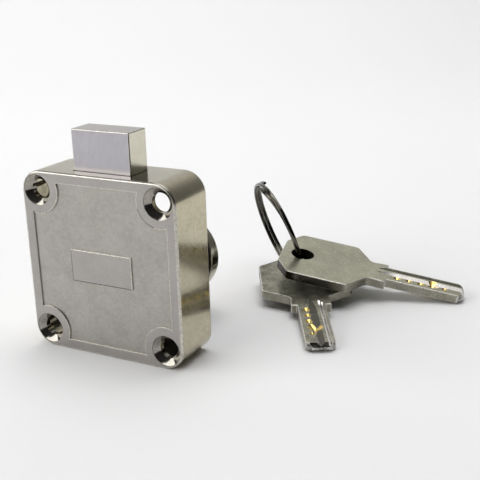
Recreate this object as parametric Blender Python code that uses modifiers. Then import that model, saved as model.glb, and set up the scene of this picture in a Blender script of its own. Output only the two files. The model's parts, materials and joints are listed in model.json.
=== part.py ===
"""Drawer lock with its two dimple keys on a split ring.

Frame: +X to the right and +Z up as seen from inside the drawer, +Y towards the drawer front.
The origin is the centre of the case's lower face, on which the lock stands.
The bolt is thrown: its crank stands at the top, and the pins stand at the shear line.
"""

import math

import bmesh
import bpy
from mathutils import Matrix, Vector

# Case, a die-cast shell that is open towards the drawer front
CASE_WIDTH = 0.0400
CASE_HEIGHT = 0.0420
CASE_DEPTH = 0.0130
CASE_CORNER = 0.0050
CASE_EDGE = 0.0005
SIDE_WALL = 0.0016
BACK_WALL = 0.0025
RECESS_DEPTH = 0.0004
RECESS_BORDER = 0.0025
PAD_WIDTH = 0.0160
PAD_HEIGHT = 0.0074
SCREW_FROM_SIDE = 0.0042
SCREW_FROM_END = 0.0044
SCREW_HOLE_RADIUS = 0.0022
COUNTERSINK_RADIUS = 0.00345
CORNER_LAND = 0.0021
BOSS_RADIUS = 0.0022
BOSS_PILOT_RADIUS = 0.0011
RUNNER_HEIGHT = 0.0004
RUNNER_WIDTH = 0.0012
RUNNER_SPACING = 0.0080
GUIDE_THICKNESS = 0.0012
GUIDE_HEIGHT = 0.0028

# Bolt
BOLT_WIDTH = 0.0150
BOLT_THICKNESS = 0.0065
BOLT_PROUD = 0.0093
BOLT_SINK = 0.0001
BOLT_EDGE = 0.0004
TAIL_THICKNESS = 0.0026
TAIL_FOOT = 0.0020
TAIL_CHEEK = 0.0016
TAIL_CORNER = 0.0010
HEAD_CLEARANCE = 0.0008

# Barrel and flange of the cylinder housing
BARREL_HEIGHT = 0.0143
BARREL_RADIUS = 0.0092
BARREL_LENGTH = 0.0213
BARREL_CHAMFER = 0.0003
FLANGE_THICKNESS = 0.0026
FLANGE_SINK = 0.0003
FLANGE_MARGIN = 0.0026
FLANGE_CORNER = 0.0040
BOSS_ABOVE_AXIS = 0.0085
BOSS_STEP = 0.0032
BOSS_FROM_BARREL = 0.0008

# Trim ring round the barrel's outer end
RING_WALL = 0.0009
RING_WIDTH = 0.0035
RING_LIP = 0.0005
RING_LIP_CLEARANCE = 0.0008
RING_ROUNDING = 0.0005

# Plug and keyway
PLUG_RADIUS = 0.0050
PLUG_HEAD_RADIUS = 0.0059
PLUG_HEAD_LENGTH = 0.0014
PLUG_RECESS = 0.0003
PLUG_CHAMFER = 0.0003
KEYWAY_END = 0.0004
TAIL_SQUARE = 0.0036

# Pins, springs and the strip that closes their chambers
PIN_COUNT = 5
PIN_PITCH = 0.0030
FIRST_PIN = 0.0046
PIN_ROW = 0.0019
PIN_RADIUS = 0.00075
PIN_TIP_RADIUS = 0.00045
PIN_TIP_LENGTH = 0.0013
PIN_SEAT = 0.0004
PIN_DOME = 0.0003
PIN_LIFT_SHARES = (0.80, 0.90, 0.60, 0.20, 0.70)
MOST_PIN_LIFT = 0.0007
DRIVER_ROOM_SHARE = 0.365
STRIP_THICKNESS = 0.0007
STRIP_WIDTH = 0.0032
STRIP_COVER = 0.0008
SPRING_WIRE = 0.00015
SPRING_RADIUS = 0.00055
SPRING_TURNS = 2.0

# Crank disc with its pin, screw and stop
CRANK_PIN_RADIUS = 0.0015
DISC_THICKNESS = 0.0020
DISC_RIM = 0.0007
CHORD_ERROR_SHARE = 0.211
CAM_SCREW_HEAD_RADIUS = 0.0030
CAM_SCREW_HEAD = 0.0009
CAM_SCREW_SHANK = 0.00105
CAM_SCREW_LENGTH = 0.0046
CAM_SLOT_WIDTH = 0.0007
STOP_PIN_RADIUS = 0.0007
STOP_PIN_CIRCLE = 0.0063
STOP_SPARE_DEGREES = 10.0

# Flange screws
FLANGE_SCREW_HEAD_RADIUS = 0.0020
FLANGE_SCREW_HEAD = 0.0012
FLANGE_SCREW_SHANK = 0.0010
FLANGE_SCREW_LENGTH = 0.0060
DRIVE_SLOT = 0.0006

# Keys
KEY_THICKNESS = 0.0023
KEY_BOW_WIDTH = 0.0230
KEY_BOW_BACK = 0.0055
KEY_BOW_FRONT = 0.0135
KEY_BACK_WIDTH = 0.0120
KEY_BOW_CHAMFER = 0.0036
KEY_NECK = 0.0180
KEY_NECK_WIDTH = 0.0092
KEY_SHOULDER = 0.0225
KEY_SHOULDER_WIDTH = 0.0100
KEY_BLADE_WIDTH = 0.0070
KEY_BLADE_LENGTH = 0.0200
KEY_TIP_TAPER = 0.0016
KEY_EDGE = 0.00025
KEY_HOLE_RADIUS = 0.0030
KEY_V_WIDTH = 0.0017
KEY_V_DEPTH = 0.0007
KEY_GROOVE_WIDTH = 0.0011
KEY_GROOVE_DEPTH = 0.0006
KEY_RAIL = 0.0007
DIMPLE_RADIUS = 0.0014
DIMPLE_DEPTH = 0.0008

# Where the set of keys lies beside the lock
UPPER_KEY_X = 0.02354
UPPER_KEY_Y = 0.04895
UPPER_KEY_DEGREES = 13.8
UPPER_KEY_ROLL_DEGREES = 5.8
LOWER_KEY_X = 0.02235
LOWER_KEY_Y = 0.05184
LOWER_KEY_DEGREES = -60.4
LOWER_KEY_LIFT = 0.00307
KEY_GAP = 0.0003

# Split ring through both keys
WIRE_RADIUS = 0.00045
WIRE_GAP = 0.00042
LOOP_RADIUS = 0.01305
LOOP_TURNS = 2.0
LOOP_POINTS = 24
LOOP_DEGREES = 137.0
LOOP_LEAN_DEGREES = -18.8
LOOP_PASS_AHEAD = 0.00117
LOOP_PASS_ASIDE = 0.00013

# Clearances, and how far a cutter runs past what it cuts
SEAT_GAP = 0.00015
RUNNING_GAP = 0.0001
SLIDING_GAP = 0.0002
OVERRUN = 0.0010
MERGE_DISTANCE = 0.000001

# Finishes as linear red, green and blue, then metallic and roughness
NICKEL = ((0.36, 0.34, 0.31), 1.0, 0.32)
BRIGHT_NICKEL = ((0.45, 0.43, 0.40), 1.0, 0.16)
BRASS = ((0.56, 0.37, 0.11), 1.0, 0.25)
BLACKENED_ZINC = ((0.02, 0.02, 0.02), 0.4, 0.45)
SPRING_STEEL = ((0.25, 0.25, 0.26), 1.0, 0.2)
ZINC = ((0.30, 0.30, 0.31), 1.0, 0.4)
SMOOTH_ANGLE = math.radians(32)
ROUND = 48
SMALL_ROUND = 20
CORNER_STEPS = 7

# Planes along Y that follow from the sizes above
BACK_FACE = -CASE_DEPTH / 2
RIM_FACE = CASE_DEPTH / 2
BACK_INSIDE = BACK_FACE + BACK_WALL
BOLT_BACK = BACK_INSIDE + RUNNER_HEIGHT + SLIDING_GAP
BOLT_FRONT = BOLT_BACK + BOLT_THICKNESS
TAIL_FRONT = BOLT_BACK + TAIL_THICKNESS
FLANGE_FRONT = RIM_FACE - FLANGE_SINK
FLANGE_BACK = FLANGE_FRONT - FLANGE_THICKNESS
DISC_FRONT = FLANGE_BACK - 2 * SLIDING_GAP
DISC_BACK = DISC_FRONT - DISC_THICKNESS
BARREL_END = RIM_FACE + BARREL_LENGTH
RING_FRONT = BARREL_END + RING_LIP + SEAT_GAP
RING_BACK = RING_FRONT - RING_WIDTH
PLUG_FACE = RING_FRONT - PLUG_RECESS
PLUG_BACK = DISC_FRONT + SLIDING_GAP
BLADE_END = PLUG_FACE - KEY_BLADE_LENGTH

# Sizes that follow from the throw of the bolt
CRANK_RADIUS = (BOLT_PROUD + BOLT_SINK) / 2
CRANK_CHORD_ERROR = CHORD_ERROR_SHARE * CRANK_RADIUS
SLOT_HALF_HEIGHT = CRANK_PIN_RADIUS + CRANK_CHORD_ERROR + SLIDING_GAP
SLOT_HALF_WIDTH = CRANK_RADIUS + CRANK_PIN_RADIUS + SLIDING_GAP
TAIL_HALF_WIDTH = SLOT_HALF_WIDTH + TAIL_CHEEK
SLOT_HEIGHT = BARREL_HEIGHT + CRANK_RADIUS
TAIL_BOTTOM = SLOT_HEIGHT - SLOT_HALF_HEIGHT - TAIL_FOOT
SHOULDER_HEIGHT = SLOT_HEIGHT + SLOT_HALF_HEIGHT + TAIL_FOOT
DISC_RADIUS = CRANK_RADIUS + CRANK_PIN_RADIUS + DISC_RIM
STOP_TRACK_RADIUS = STOP_PIN_CIRCLE - STOP_PIN_RADIUS - SLIDING_GAP
HEAD_BOTTOM = BARREL_HEIGHT + DISC_RADIUS + 2 * CRANK_RADIUS + HEAD_CLEARANCE
BOLT_TOP = CASE_HEIGHT + BOLT_PROUD
BOSS_BELOW_AXIS = BARREL_RADIUS - BOSS_STEP
BOSS_CIRCLE = BARREL_RADIUS + BOSS_FROM_BARREL + FLANGE_SCREW_HEAD_RADIUS + SEAT_GAP
BOSS_BESIDE_TAIL = TAIL_HALF_WIDTH + BOSS_RADIUS + 2 * SLIDING_GAP
BOSS_X = max(BOSS_BESIDE_TAIL, math.sqrt(BOSS_CIRCLE**2 - BOSS_BELOW_AXIS**2))
RING_INSIDE = BARREL_RADIUS + RUNNING_GAP
RING_RADIUS = RING_INSIDE + RING_WALL
BORE_RADIUS = PLUG_RADIUS + RUNNING_GAP
CHAMBER_RADIUS = PIN_RADIUS + RUNNING_GAP
KEYWAY_HALF_HEIGHT = KEY_THICKNESS / 2 + RUNNING_GAP
KEYWAY_HALF_WIDTH = KEY_BLADE_WIDTH / 2 + RUNNING_GAP
STRIP_FLOOR = math.sqrt(BARREL_RADIUS**2 - (PIN_ROW + STRIP_WIDTH / 2) ** 2) - STRIP_THICKNESS
PIN_PLACES = [PLUG_FACE - FIRST_PIN - PIN_PITCH * pin for pin in range(PIN_COUNT)]
BARREL_AXIS = Vector((0, 0, BARREL_HEIGHT))
ALONG_Y = Matrix.Rotation(-math.pi / 2, 4, "X")


def clear_scene():
    for old in list(bpy.data.objects):
        bpy.data.objects.remove(old, do_unlink=True)
    made = []
    for name in ("drawer_lock", "cutters"):
        collection = bpy.data.collections.new(name)
        bpy.context.scene.collection.children.link(collection)
        made.append(collection)
    return made


PARTS, CUTTERS = clear_scene()


def finish(name, settings):
    """The material of this finish, made once."""
    found = bpy.data.materials.get(name)
    if found:
        return found
    colour, metallic, roughness = settings
    made = bpy.data.materials.new(name)
    made.use_nodes = True
    shader = made.node_tree.nodes["Principled BSDF"]
    shader.inputs["Base Color"].default_value = (*colour, 1)
    shader.inputs["Metallic"].default_value = metallic
    shader.inputs["Roughness"].default_value = roughness
    return made


def as_part(obj, name, settings):
    """Names the object as a sub-part with its own material and smooth shading."""
    obj.name = name
    obj.data.name = name
    obj.data.materials.clear()
    obj.data.materials.append(finish(name + "_finish", settings))
    return obj


def as_helper(obj, name="cutter"):
    obj.name = name
    for collection in list(obj.users_collection):
        collection.objects.unlink(obj)
    CUTTERS.objects.link(obj)
    obj.hide_render = True
    obj.display_type = "WIRE"
    return obj


def placed(mesh, matrix=None):
    """A new object of the mesh, with the matrix as its place."""
    obj = bpy.data.objects.new("piece", mesh)
    PARTS.objects.link(obj)
    if matrix is not None:
        obj.matrix_world = matrix
    return obj


def mesh_of(shape):
    mesh = bpy.data.meshes.new("piece")
    shape.to_mesh(mesh)
    shape.free()
    mesh.shade_smooth()
    mesh.set_sharp_from_angle(angle=SMOOTH_ANGLE)
    return mesh


def box(low, high):
    """A box between two corners, about its own origin at its centre."""
    low, high = Vector(low), Vector(high)
    shape = bmesh.new()
    bmesh.ops.create_cube(shape, size=1)
    bmesh.ops.scale(shape, vec=high - low, verts=shape.verts)
    return placed(mesh_of(shape), Matrix.Translation((low + high) / 2))


def turned(profile, matrix, steps=ROUND):
    """A profile of (radius, height) from its top down, turned about the matrix's Z axis."""
    mesh = bpy.data.meshes.new("piece")
    shape = bmesh.new()
    corners = [shape.verts.new((radius, 0, height)) for radius, height in profile]
    for first, second in zip(corners, corners[1:]):
        shape.edges.new((first, second))
    shape.to_mesh(mesh)
    shape.free()
    obj = placed(mesh, matrix)
    screw = obj.modifiers.new("turn", "SCREW")
    screw.axis = "Z"
    screw.steps = steps
    screw.render_steps = steps
    screw.use_merge_vertices = True
    screw.merge_threshold = MERGE_DISTANCE
    screw.use_smooth_shade = True
    return obj


def rod(radius, low, high, matrix, steps=ROUND, chamfer=0):
    """A round bar between two heights on the matrix's Z axis, with chamfered ends."""
    profile = [(0, high), (radius - chamfer, high)]
    if chamfer:
        profile += [(radius, high - chamfer), (radius, low + chamfer)]
        profile += [(radius - chamfer, low), (0, low)]
    else:
        profile += [(radius, low), (0, low)]
    return turned(profile, matrix, steps)


def plate(outline, low, high, matrix):
    """A flat outline in the matrix's XY plane, filled and extruded between two heights."""
    curve = bpy.data.curves.new("outline", "CURVE")
    curve.dimensions = "2D"
    curve.fill_mode = "BOTH"
    curve.extrude = (high - low) / 2
    spline = curve.splines.new("POLY")
    spline.points.add(len(outline) - 1)
    for point, (x, y) in zip(spline.points, outline):
        point.co = (x, y, 0, 1)
    spline.use_cyclic_u = True
    guide = bpy.data.objects.new("outline", curve)
    bpy.context.scene.collection.objects.link(guide)
    bpy.context.view_layer.update()
    graph = bpy.context.evaluated_depsgraph_get()
    mesh = bpy.data.meshes.new_from_object(guide.evaluated_get(graph))
    bpy.data.objects.remove(guide, do_unlink=True)
    shape = bmesh.new()
    shape.from_mesh(mesh)
    bmesh.ops.remove_doubles(shape, verts=shape.verts, dist=MERGE_DISTANCE)
    bmesh.ops.translate(shape, vec=(0, 0, (high + low) / 2), verts=shape.verts)
    bmesh.ops.recalc_face_normals(shape, faces=shape.faces)
    shape.to_mesh(mesh)
    shape.free()
    mesh.shade_smooth()
    mesh.set_sharp_from_angle(angle=SMOOTH_ANGLE)
    return placed(mesh, matrix)


def arc(centre, radius, start, end, steps):
    """Points on an arc, in degrees, both ends included."""
    angles = [math.radians(start + (end - start) * step / steps) for step in range(steps + 1)]
    return [(centre[0] + radius * math.cos(a), centre[1] + radius * math.sin(a)) for a in angles]


def rounded(corners, radii, steps=CORNER_STEPS):
    """A closed outline with each corner replaced by an arc of its radius."""
    points = []
    count = len(corners)
    for index, (corner, radius) in enumerate(zip(corners, radii)):
        here = Vector(corner)
        back = (Vector(corners[index - 1]) - here).normalized()
        ahead = (Vector(corners[(index + 1) % count]) - here).normalized()
        if not radius:
            points.append(tuple(here))
            continue
        half = back.angle(ahead) / 2
        reach = radius / math.tan(half)
        centre = here + (back + ahead).normalized() * (radius / math.sin(half))
        first = here + back * reach - centre
        turn = first.angle_signed(here + ahead * reach - centre)
        for step in range(steps + 1):
            angle = -turn * step / steps
            points.append(tuple(centre + Matrix.Rotation(angle, 2) @ first))
    return points


def rectangle(left, right, bottom, top, radius):
    corners = [(left, bottom), (right, bottom), (right, top), (left, top)]
    return rounded(corners, [radius] * len(corners)) if radius else corners


def upright(y=0):
    """A frame whose XY plane is the lock's XZ plane and whose Z axis points along -Y."""
    return Matrix.Translation((0, y, 0)) @ Matrix.Rotation(math.pi / 2, 4, "X")


def wall_plate(outline, back, front):
    """An outline in the lock's X and Z, extruded along Y between two planes."""
    return plate(outline, -front, -back, upright())


def y_axis(x, z):
    """A frame whose Z axis points along +Y, on the line through x and z."""
    return Matrix.Translation((x, 0, z)) @ ALONG_Y


def z_axis(x, y, z=0):
    return Matrix.Translation((x, y, z))


def combine(obj, other, operation):
    modifier = obj.modifiers.new(operation.lower(), "BOOLEAN")
    modifier.operation = operation
    modifier.solver = "EXACT"
    modifier.object = as_helper(other)


def cut(obj, *cutters):
    for cutter in cutters:
        combine(obj, cutter, "DIFFERENCE")


def join(obj, *others):
    for other in others:
        combine(obj, other, "UNION")


def soften(obj, width, segments=2):
    bevel = obj.modifiers.new("edge", "BEVEL")
    bevel.width = width
    bevel.segments = segments
    bevel.limit_method = "ANGLE"
    bevel.angle_limit = math.radians(40)
    bevel.use_clamp_overlap = True


def screw_places():
    """The four holes through which the lock is screwed to the drawer front."""
    x = CASE_WIDTH / 2 - SCREW_FROM_SIDE
    return [(side * x, z) for side in (-1, 1) for z in (SCREW_FROM_END, CASE_HEIGHT - SCREW_FROM_END)]


def boss_places():
    heights = (BARREL_HEIGHT - BOSS_BELOW_AXIS, BARREL_HEIGHT + BOSS_ABOVE_AXIS)
    return [(side * BOSS_X, z) for side in (-1, 1) for z in heights]


def build_case():
    half = CASE_WIDTH / 2
    case = wall_plate(rectangle(-half, half, 0, CASE_HEIGHT, CASE_CORNER), BACK_FACE, RIM_FACE)
    soften(case, CASE_EDGE)
    inside = half - SIDE_WALL
    hollow = rectangle(-inside, inside, SIDE_WALL, CASE_HEIGHT - SIDE_WALL, CASE_CORNER - SIDE_WALL)
    cut(case, wall_plate(hollow, BACK_INSIDE, RIM_FACE + OVERRUN))
    for x, z in boss_places():
        join(case, rod(BOSS_RADIUS, BACK_INSIDE - RECESS_DEPTH, FLANGE_BACK - SEAT_GAP, y_axis(x, z), SMALL_ROUND))
    for side in (-1, 1):
        middle = side * RUNNER_SPACING / 2
        join(
            case,
            box(
                (middle - RUNNER_WIDTH / 2, BACK_INSIDE - RECESS_DEPTH, SIDE_WALL / 2),
                (middle + RUNNER_WIDTH / 2, BACK_INSIDE + RUNNER_HEIGHT, CASE_HEIGHT - SIDE_WALL / 2),
            ),
        )
        inner = BOLT_WIDTH / 2 + SLIDING_GAP
        edges = sorted((side * inner, side * (inner + GUIDE_THICKNESS)))
        join(
            case,
            box(
                (edges[0], BACK_INSIDE - RECESS_DEPTH, SHOULDER_HEIGHT + TAIL_FOOT),
                (edges[1], BACK_INSIDE + GUIDE_HEIGHT, CASE_HEIGHT - SIDE_WALL / 2),
            ),
        )
    opening = BOLT_WIDTH / 2 + SLIDING_GAP
    cut(
        case,
        box(
            (-opening, BOLT_BACK - SLIDING_GAP, CASE_HEIGHT - SIDE_WALL - OVERRUN),
            (opening, BOLT_FRONT + SLIDING_GAP, CASE_HEIGHT + OVERRUN),
        ),
    )
    for x, z in boss_places():
        depth = BACK_INSIDE + BOSS_PILOT_RADIUS
        cut(case, rod(BOSS_PILOT_RADIUS, depth, RIM_FACE, y_axis(x, z), SMALL_ROUND))
    for x, z in screw_places():
        slope = COUNTERSINK_RADIUS - SCREW_HOLE_RADIUS
        profile = [
            (0, BACK_INSIDE + OVERRUN),
            (SCREW_HOLE_RADIUS, BACK_INSIDE + OVERRUN),
            (SCREW_HOLE_RADIUS, BACK_FACE + slope),
            (COUNTERSINK_RADIUS + OVERRUN, BACK_FACE - OVERRUN),
            (0, BACK_FACE - OVERRUN),
        ]
        cut(case, turned(profile, y_axis(x, z)))
    cut(case, recess_cutter())
    return as_part(case, "case", NICKEL)


def recess_cutter():
    """The sunk panel: a rectangle less a round land at each screw hole and the bare central pad."""
    half = CASE_WIDTH / 2 - RECESS_BORDER
    floor = BACK_FACE + RECESS_DEPTH
    outline = rectangle(-half, half, RECESS_BORDER, CASE_HEIGHT - RECESS_BORDER, 0)
    panel = wall_plate(outline, BACK_FACE - OVERRUN, floor)
    past = 2 * OVERRUN
    for x, z in screw_places():
        cut(panel, rod(COUNTERSINK_RADIUS + CORNER_LAND, BACK_FACE - past, floor + past, y_axis(x, z)))
    middle = CASE_HEIGHT / 2
    cut(
        panel,
        box(
            (-PAD_WIDTH / 2, BACK_FACE - past, middle - PAD_HEIGHT / 2),
            (PAD_WIDTH / 2, floor + past, middle + PAD_HEIGHT / 2),
        ),
    )
    return panel


def build_bolt():
    half = BOLT_WIDTH / 2
    wide = TAIL_HALF_WIDTH
    top = BOLT_TOP
    corners = [
        (-wide, TAIL_BOTTOM),
        (wide, TAIL_BOTTOM),
        (wide, SHOULDER_HEIGHT),
        (half, SHOULDER_HEIGHT),
        (half, top),
        (-half, top),
        (-half, SHOULDER_HEIGHT),
        (-wide, SHOULDER_HEIGHT),
    ]
    radii = [TAIL_CORNER, TAIL_CORNER, 0, 0, 0, 0, 0, 0]
    bolt = wall_plate(rounded(corners, radii), BOLT_BACK, BOLT_FRONT)
    past = TAIL_CORNER
    cut(
        bolt,
        box(
            (-wide - past, TAIL_FRONT, TAIL_BOTTOM - past),
            (wide + past, BOLT_FRONT + past, HEAD_BOTTOM),
        ),
    )
    soften(bolt, BOLT_EDGE)
    slot = rectangle(
        -SLOT_HALF_WIDTH,
        SLOT_HALF_WIDTH,
        SLOT_HEIGHT - SLOT_HALF_HEIGHT,
        SLOT_HEIGHT + SLOT_HALF_HEIGHT,
        CRANK_PIN_RADIUS,
    )
    cut(bolt, wall_plate(slot, BOLT_BACK - past, TAIL_FRONT + past))
    return as_part(bolt, "bolt", NICKEL)


def build_housing():
    side = BOSS_X + FLANGE_MARGIN
    bottom = BARREL_HEIGHT - BARREL_RADIUS - SEAT_GAP
    top = BARREL_HEIGHT + BOSS_ABOVE_AXIS + FLANGE_MARGIN
    outline = rectangle(-side, side, bottom, top, FLANGE_CORNER)
    housing = wall_plate(outline, FLANGE_BACK, FLANGE_FRONT)
    axis = Matrix.Translation(BARREL_AXIS) @ ALONG_Y
    barrel = [
        (0, BARREL_END),
        (BARREL_RADIUS - BARREL_CHAMFER, BARREL_END),
        (BARREL_RADIUS, BARREL_END - BARREL_CHAMFER),
        (BARREL_RADIUS, FLANGE_BACK + FLANGE_THICKNESS / 2),
        (0, FLANGE_BACK + FLANGE_THICKNESS / 2),
    ]
    join(housing, turned(barrel, axis))
    counterbore = PLUG_FACE - PLUG_HEAD_LENGTH - SLIDING_GAP
    bore = [
        (0, BARREL_END + OVERRUN),
        (PLUG_HEAD_RADIUS + RUNNING_GAP, BARREL_END + OVERRUN),
        (PLUG_HEAD_RADIUS + RUNNING_GAP, counterbore),
        (BORE_RADIUS, counterbore),
        (BORE_RADIUS, FLANGE_BACK - OVERRUN),
        (0, FLANGE_BACK - OVERRUN),
    ]
    cut(housing, turned(bore, axis))
    for y in PIN_PLACES:
        chamber = z_axis(-PIN_ROW, y, BARREL_HEIGHT)
        cut(housing, rod(CHAMBER_RADIUS, PLUG_RADIUS / 2, BARREL_RADIUS + OVERRUN, chamber, SMALL_ROUND))
    cut(housing, strip_block(SEAT_GAP, OVERRUN))
    for x, z in boss_places():
        shank = FLANGE_SCREW_SHANK + RUNNING_GAP
        head = FLANGE_SCREW_HEAD_RADIUS + SEAT_GAP
        floor = FLANGE_FRONT - FLANGE_SCREW_HEAD - SEAT_GAP
        profile = [
            (0, FLANGE_FRONT + OVERRUN),
            (head, FLANGE_FRONT + OVERRUN),
            (head, floor),
            (shank, floor),
            (shank, FLANGE_BACK - OVERRUN),
            (0, FLANGE_BACK - OVERRUN),
        ]
        cut(housing, turned(profile, y_axis(x, z), SMALL_ROUND))
    stop = y_axis(-STOP_PIN_CIRCLE, BARREL_HEIGHT)
    radius = STOP_PIN_RADIUS + RUNNING_GAP / 2
    cut(housing, rod(radius, FLANGE_BACK - OVERRUN, FLANGE_FRONT - SEAT_GAP, stop, SMALL_ROUND))
    return as_part(housing, "cylinder_housing", BLACKENED_ZINC)


def strip_block(gap, lift):
    """The strip over the pin chambers, or with a gap and a lift the groove that it lies in."""
    first, last = PIN_PLACES[0] + CHAMBER_RADIUS, PIN_PLACES[-1] - CHAMBER_RADIUS
    end = STRIP_COVER / 2 - SEAT_GAP
    floor = BARREL_HEIGHT + STRIP_FLOOR
    return box(
        (-PIN_ROW - STRIP_WIDTH / 2 - gap, last - STRIP_COVER - gap, floor - gap),
        (-PIN_ROW + STRIP_WIDTH / 2 + gap, first + end + gap, floor + STRIP_THICKNESS + lift),
    )


def build_strip():
    strip = strip_block(0, 0)
    return as_part(strip, "chamber_strip", BRASS)


def build_front_ring():
    outer = RING_RADIUS
    inner = RING_INSIDE
    lip = PLUG_HEAD_RADIUS + RING_LIP_CLEARANCE
    profile = [(lip, RING_FRONT - RING_LIP), (lip, RING_FRONT)]
    corner = arc((outer - RING_ROUNDING, RING_FRONT - RING_ROUNDING), RING_ROUNDING, 90, 0, 3)
    profile += corner + [(outer, RING_BACK), (inner, RING_BACK)]
    profile += [(inner, RING_FRONT - RING_LIP), (lip, RING_FRONT - RING_LIP)]
    ring = turned(profile, Matrix.Translation(BARREL_AXIS) @ ALONG_Y)
    return as_part(ring, "front_ring", BRIGHT_NICKEL)


def keyway_outline():
    """The slot for the blade, with a V rib on each face and a side rib, alike after half a turn."""
    wide, high = KEYWAY_HALF_WIDTH, KEYWAY_HALF_HEIGHT
    rib = KEY_V_WIDTH / 2 - RUNNING_GAP
    crest = high - KEY_V_DEPTH + RUNNING_GAP
    outer = KEY_BLADE_WIDTH / 2 - KEY_RAIL - RUNNING_GAP
    inner = outer - KEY_GROOVE_WIDTH + 2 * RUNNING_GAP
    step = high - KEY_GROOVE_DEPTH + RUNNING_GAP
    half = [
        (-wide, high),
        (-rib, high),
        (0, crest),
        (rib, high),
        (inner, high),
        (inner, step),
        (outer, step),
        (outer, high),
        (wide, high),
    ]
    return half + [(-x, -y) for x, y in half]


def build_plug():
    axis = Matrix.Translation(BARREL_AXIS) @ ALONG_Y
    shoulder = PLUG_FACE - PLUG_HEAD_LENGTH
    profile = [
        (0, PLUG_FACE),
        (PLUG_HEAD_RADIUS - PLUG_CHAMFER, PLUG_FACE),
        (PLUG_HEAD_RADIUS, PLUG_FACE - PLUG_CHAMFER),
        (PLUG_HEAD_RADIUS, shoulder),
        (PLUG_RADIUS, shoulder),
        (PLUG_RADIUS, PLUG_BACK),
        (0, PLUG_BACK),
    ]
    plug = turned(profile, axis)
    half = TAIL_SQUARE / 2
    end = DISC_BACK - SEAT_GAP / 2
    join(plug, box((-half, end, BARREL_HEIGHT - half), (half, PLUG_BACK + half, BARREL_HEIGHT + half)))
    keyway = [(x, BARREL_HEIGHT + z) for x, z in keyway_outline()]
    cut(plug, wall_plate(keyway, BLADE_END - KEYWAY_END, PLUG_FACE + OVERRUN))
    seat = KEYWAY_HALF_HEIGHT + PIN_SEAT
    for y in PIN_PLACES:
        profile = [
            (0, PLUG_HEAD_RADIUS),
            (CHAMBER_RADIUS, PLUG_HEAD_RADIUS),
            (CHAMBER_RADIUS, seat),
            (PIN_TIP_RADIUS + RUNNING_GAP, seat),
            (PIN_TIP_RADIUS + RUNNING_GAP, 0),
            (0, 0),
        ]
        cut(plug, turned(profile, z_axis(-PIN_ROW, y, BARREL_HEIGHT), SMALL_ROUND))
    hole = CAM_SCREW_SHANK + RUNNING_GAP
    depth = DISC_BACK + CAM_SCREW_LENGTH + SEAT_GAP
    cut(plug, rod(hole, end - OVERRUN, depth, axis, SMALL_ROUND))
    return as_part(plug, "plug", BRASS)


def build_pins():
    """Key pins, driver pins and springs, each stack at its own lift and stored at the shear line."""
    rim = math.sqrt(PLUG_RADIUS**2 - (PIN_ROW + PIN_RADIUS) ** 2) - RUNNING_GAP
    crown = math.sqrt(PLUG_RADIUS**2 - PIN_ROW**2) - RUNNING_GAP
    crown = min(crown, rim + PIN_DOME)
    driver_tip = crown + 3 * RUNNING_GAP
    driver_rim = math.sqrt(BORE_RADIUS**2 - (PIN_ROW - PIN_RADIUS) ** 2) + RUNNING_GAP
    driver_top = driver_rim + DRIVER_ROOM_SHARE * (STRIP_FLOOR - driver_rim)
    seat = KEYWAY_HALF_HEIGHT + PIN_SEAT + RUNNING_GAP
    for index, y in enumerate(PIN_PLACES):
        axis = z_axis(-PIN_ROW, y, BARREL_HEIGHT)
        shoulder = seat + MOST_PIN_LIFT * PIN_LIFT_SHARES[index % len(PIN_LIFT_SHARES)]
        key_pin = turned(
            [
                (0, crown),
                (PIN_RADIUS / 2, crown - PIN_DOME / 4),
                (PIN_RADIUS, rim),
                (PIN_RADIUS, shoulder),
                (PIN_TIP_RADIUS, shoulder),
                (PIN_TIP_RADIUS, shoulder - PIN_TIP_LENGTH + PIN_TIP_RADIUS / 2),
                (PIN_TIP_RADIUS / 2, shoulder - PIN_TIP_LENGTH),
                (0, shoulder - PIN_TIP_LENGTH),
            ],
            axis,
            SMALL_ROUND,
        )
        as_part(key_pin, f"key_pin_{index + 1}", BRASS)
        driver = turned(
            [
                (0, driver_top),
                (PIN_RADIUS, driver_top),
                (PIN_RADIUS, driver_rim),
                (0, driver_tip),
            ],
            axis,
            SMALL_ROUND,
        )
        as_part(driver, f"driver_pin_{index + 1}", BRASS)
        as_part(spring(driver_top + RUNNING_GAP, STRIP_FLOOR - RUNNING_GAP, axis), f"pin_spring_{index + 1}", SPRING_STEEL)


def tube(points, radius, bevel_resolution, matrix):
    """A wire along the points, as a mesh tube with filled ends."""
    curve = bpy.data.curves.new("wire", "CURVE")
    curve.dimensions = "3D"
    curve.bevel_depth = radius
    curve.bevel_resolution = bevel_resolution
    curve.use_fill_caps = True
    spline = curve.splines.new("POLY")
    spline.points.add(len(points) - 1)
    for point, place in zip(spline.points, points):
        point.co = (*place, 1)
    wire = bpy.data.objects.new("wire", curve)
    PARTS.objects.link(wire)
    wire.matrix_world = matrix
    return wire


def least_gap(points, radius, apart):
    """The least gap of a wire to itself, between points that are over half a turn apart."""
    places = [Vector(point) for point in points]
    gaps = [
        (first - second).length
        for index, first in enumerate(places)
        for second in places[index + apart :]
    ]
    return min(gaps) - 2 * radius


def spring(low, high, axis):
    per_turn = 9
    count = int(SPRING_TURNS * per_turn)
    rise = high - low - 2 * SPRING_WIRE
    points = []
    for step in range(count + 1):
        angle = math.tau * SPRING_TURNS * step / count
        height = low + SPRING_WIRE + rise * step / count
        points.append((SPRING_RADIUS * math.cos(angle), SPRING_RADIUS * math.sin(angle), height))
    made = tube(points, SPRING_WIRE / 2, 1, axis)
    gap = least_gap(points, SPRING_WIRE / 2, per_turn // 2 + 1)
    print(f"least gap of the pin spring to itself: {gap * 1000:.2f} mm")
    return made


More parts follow.
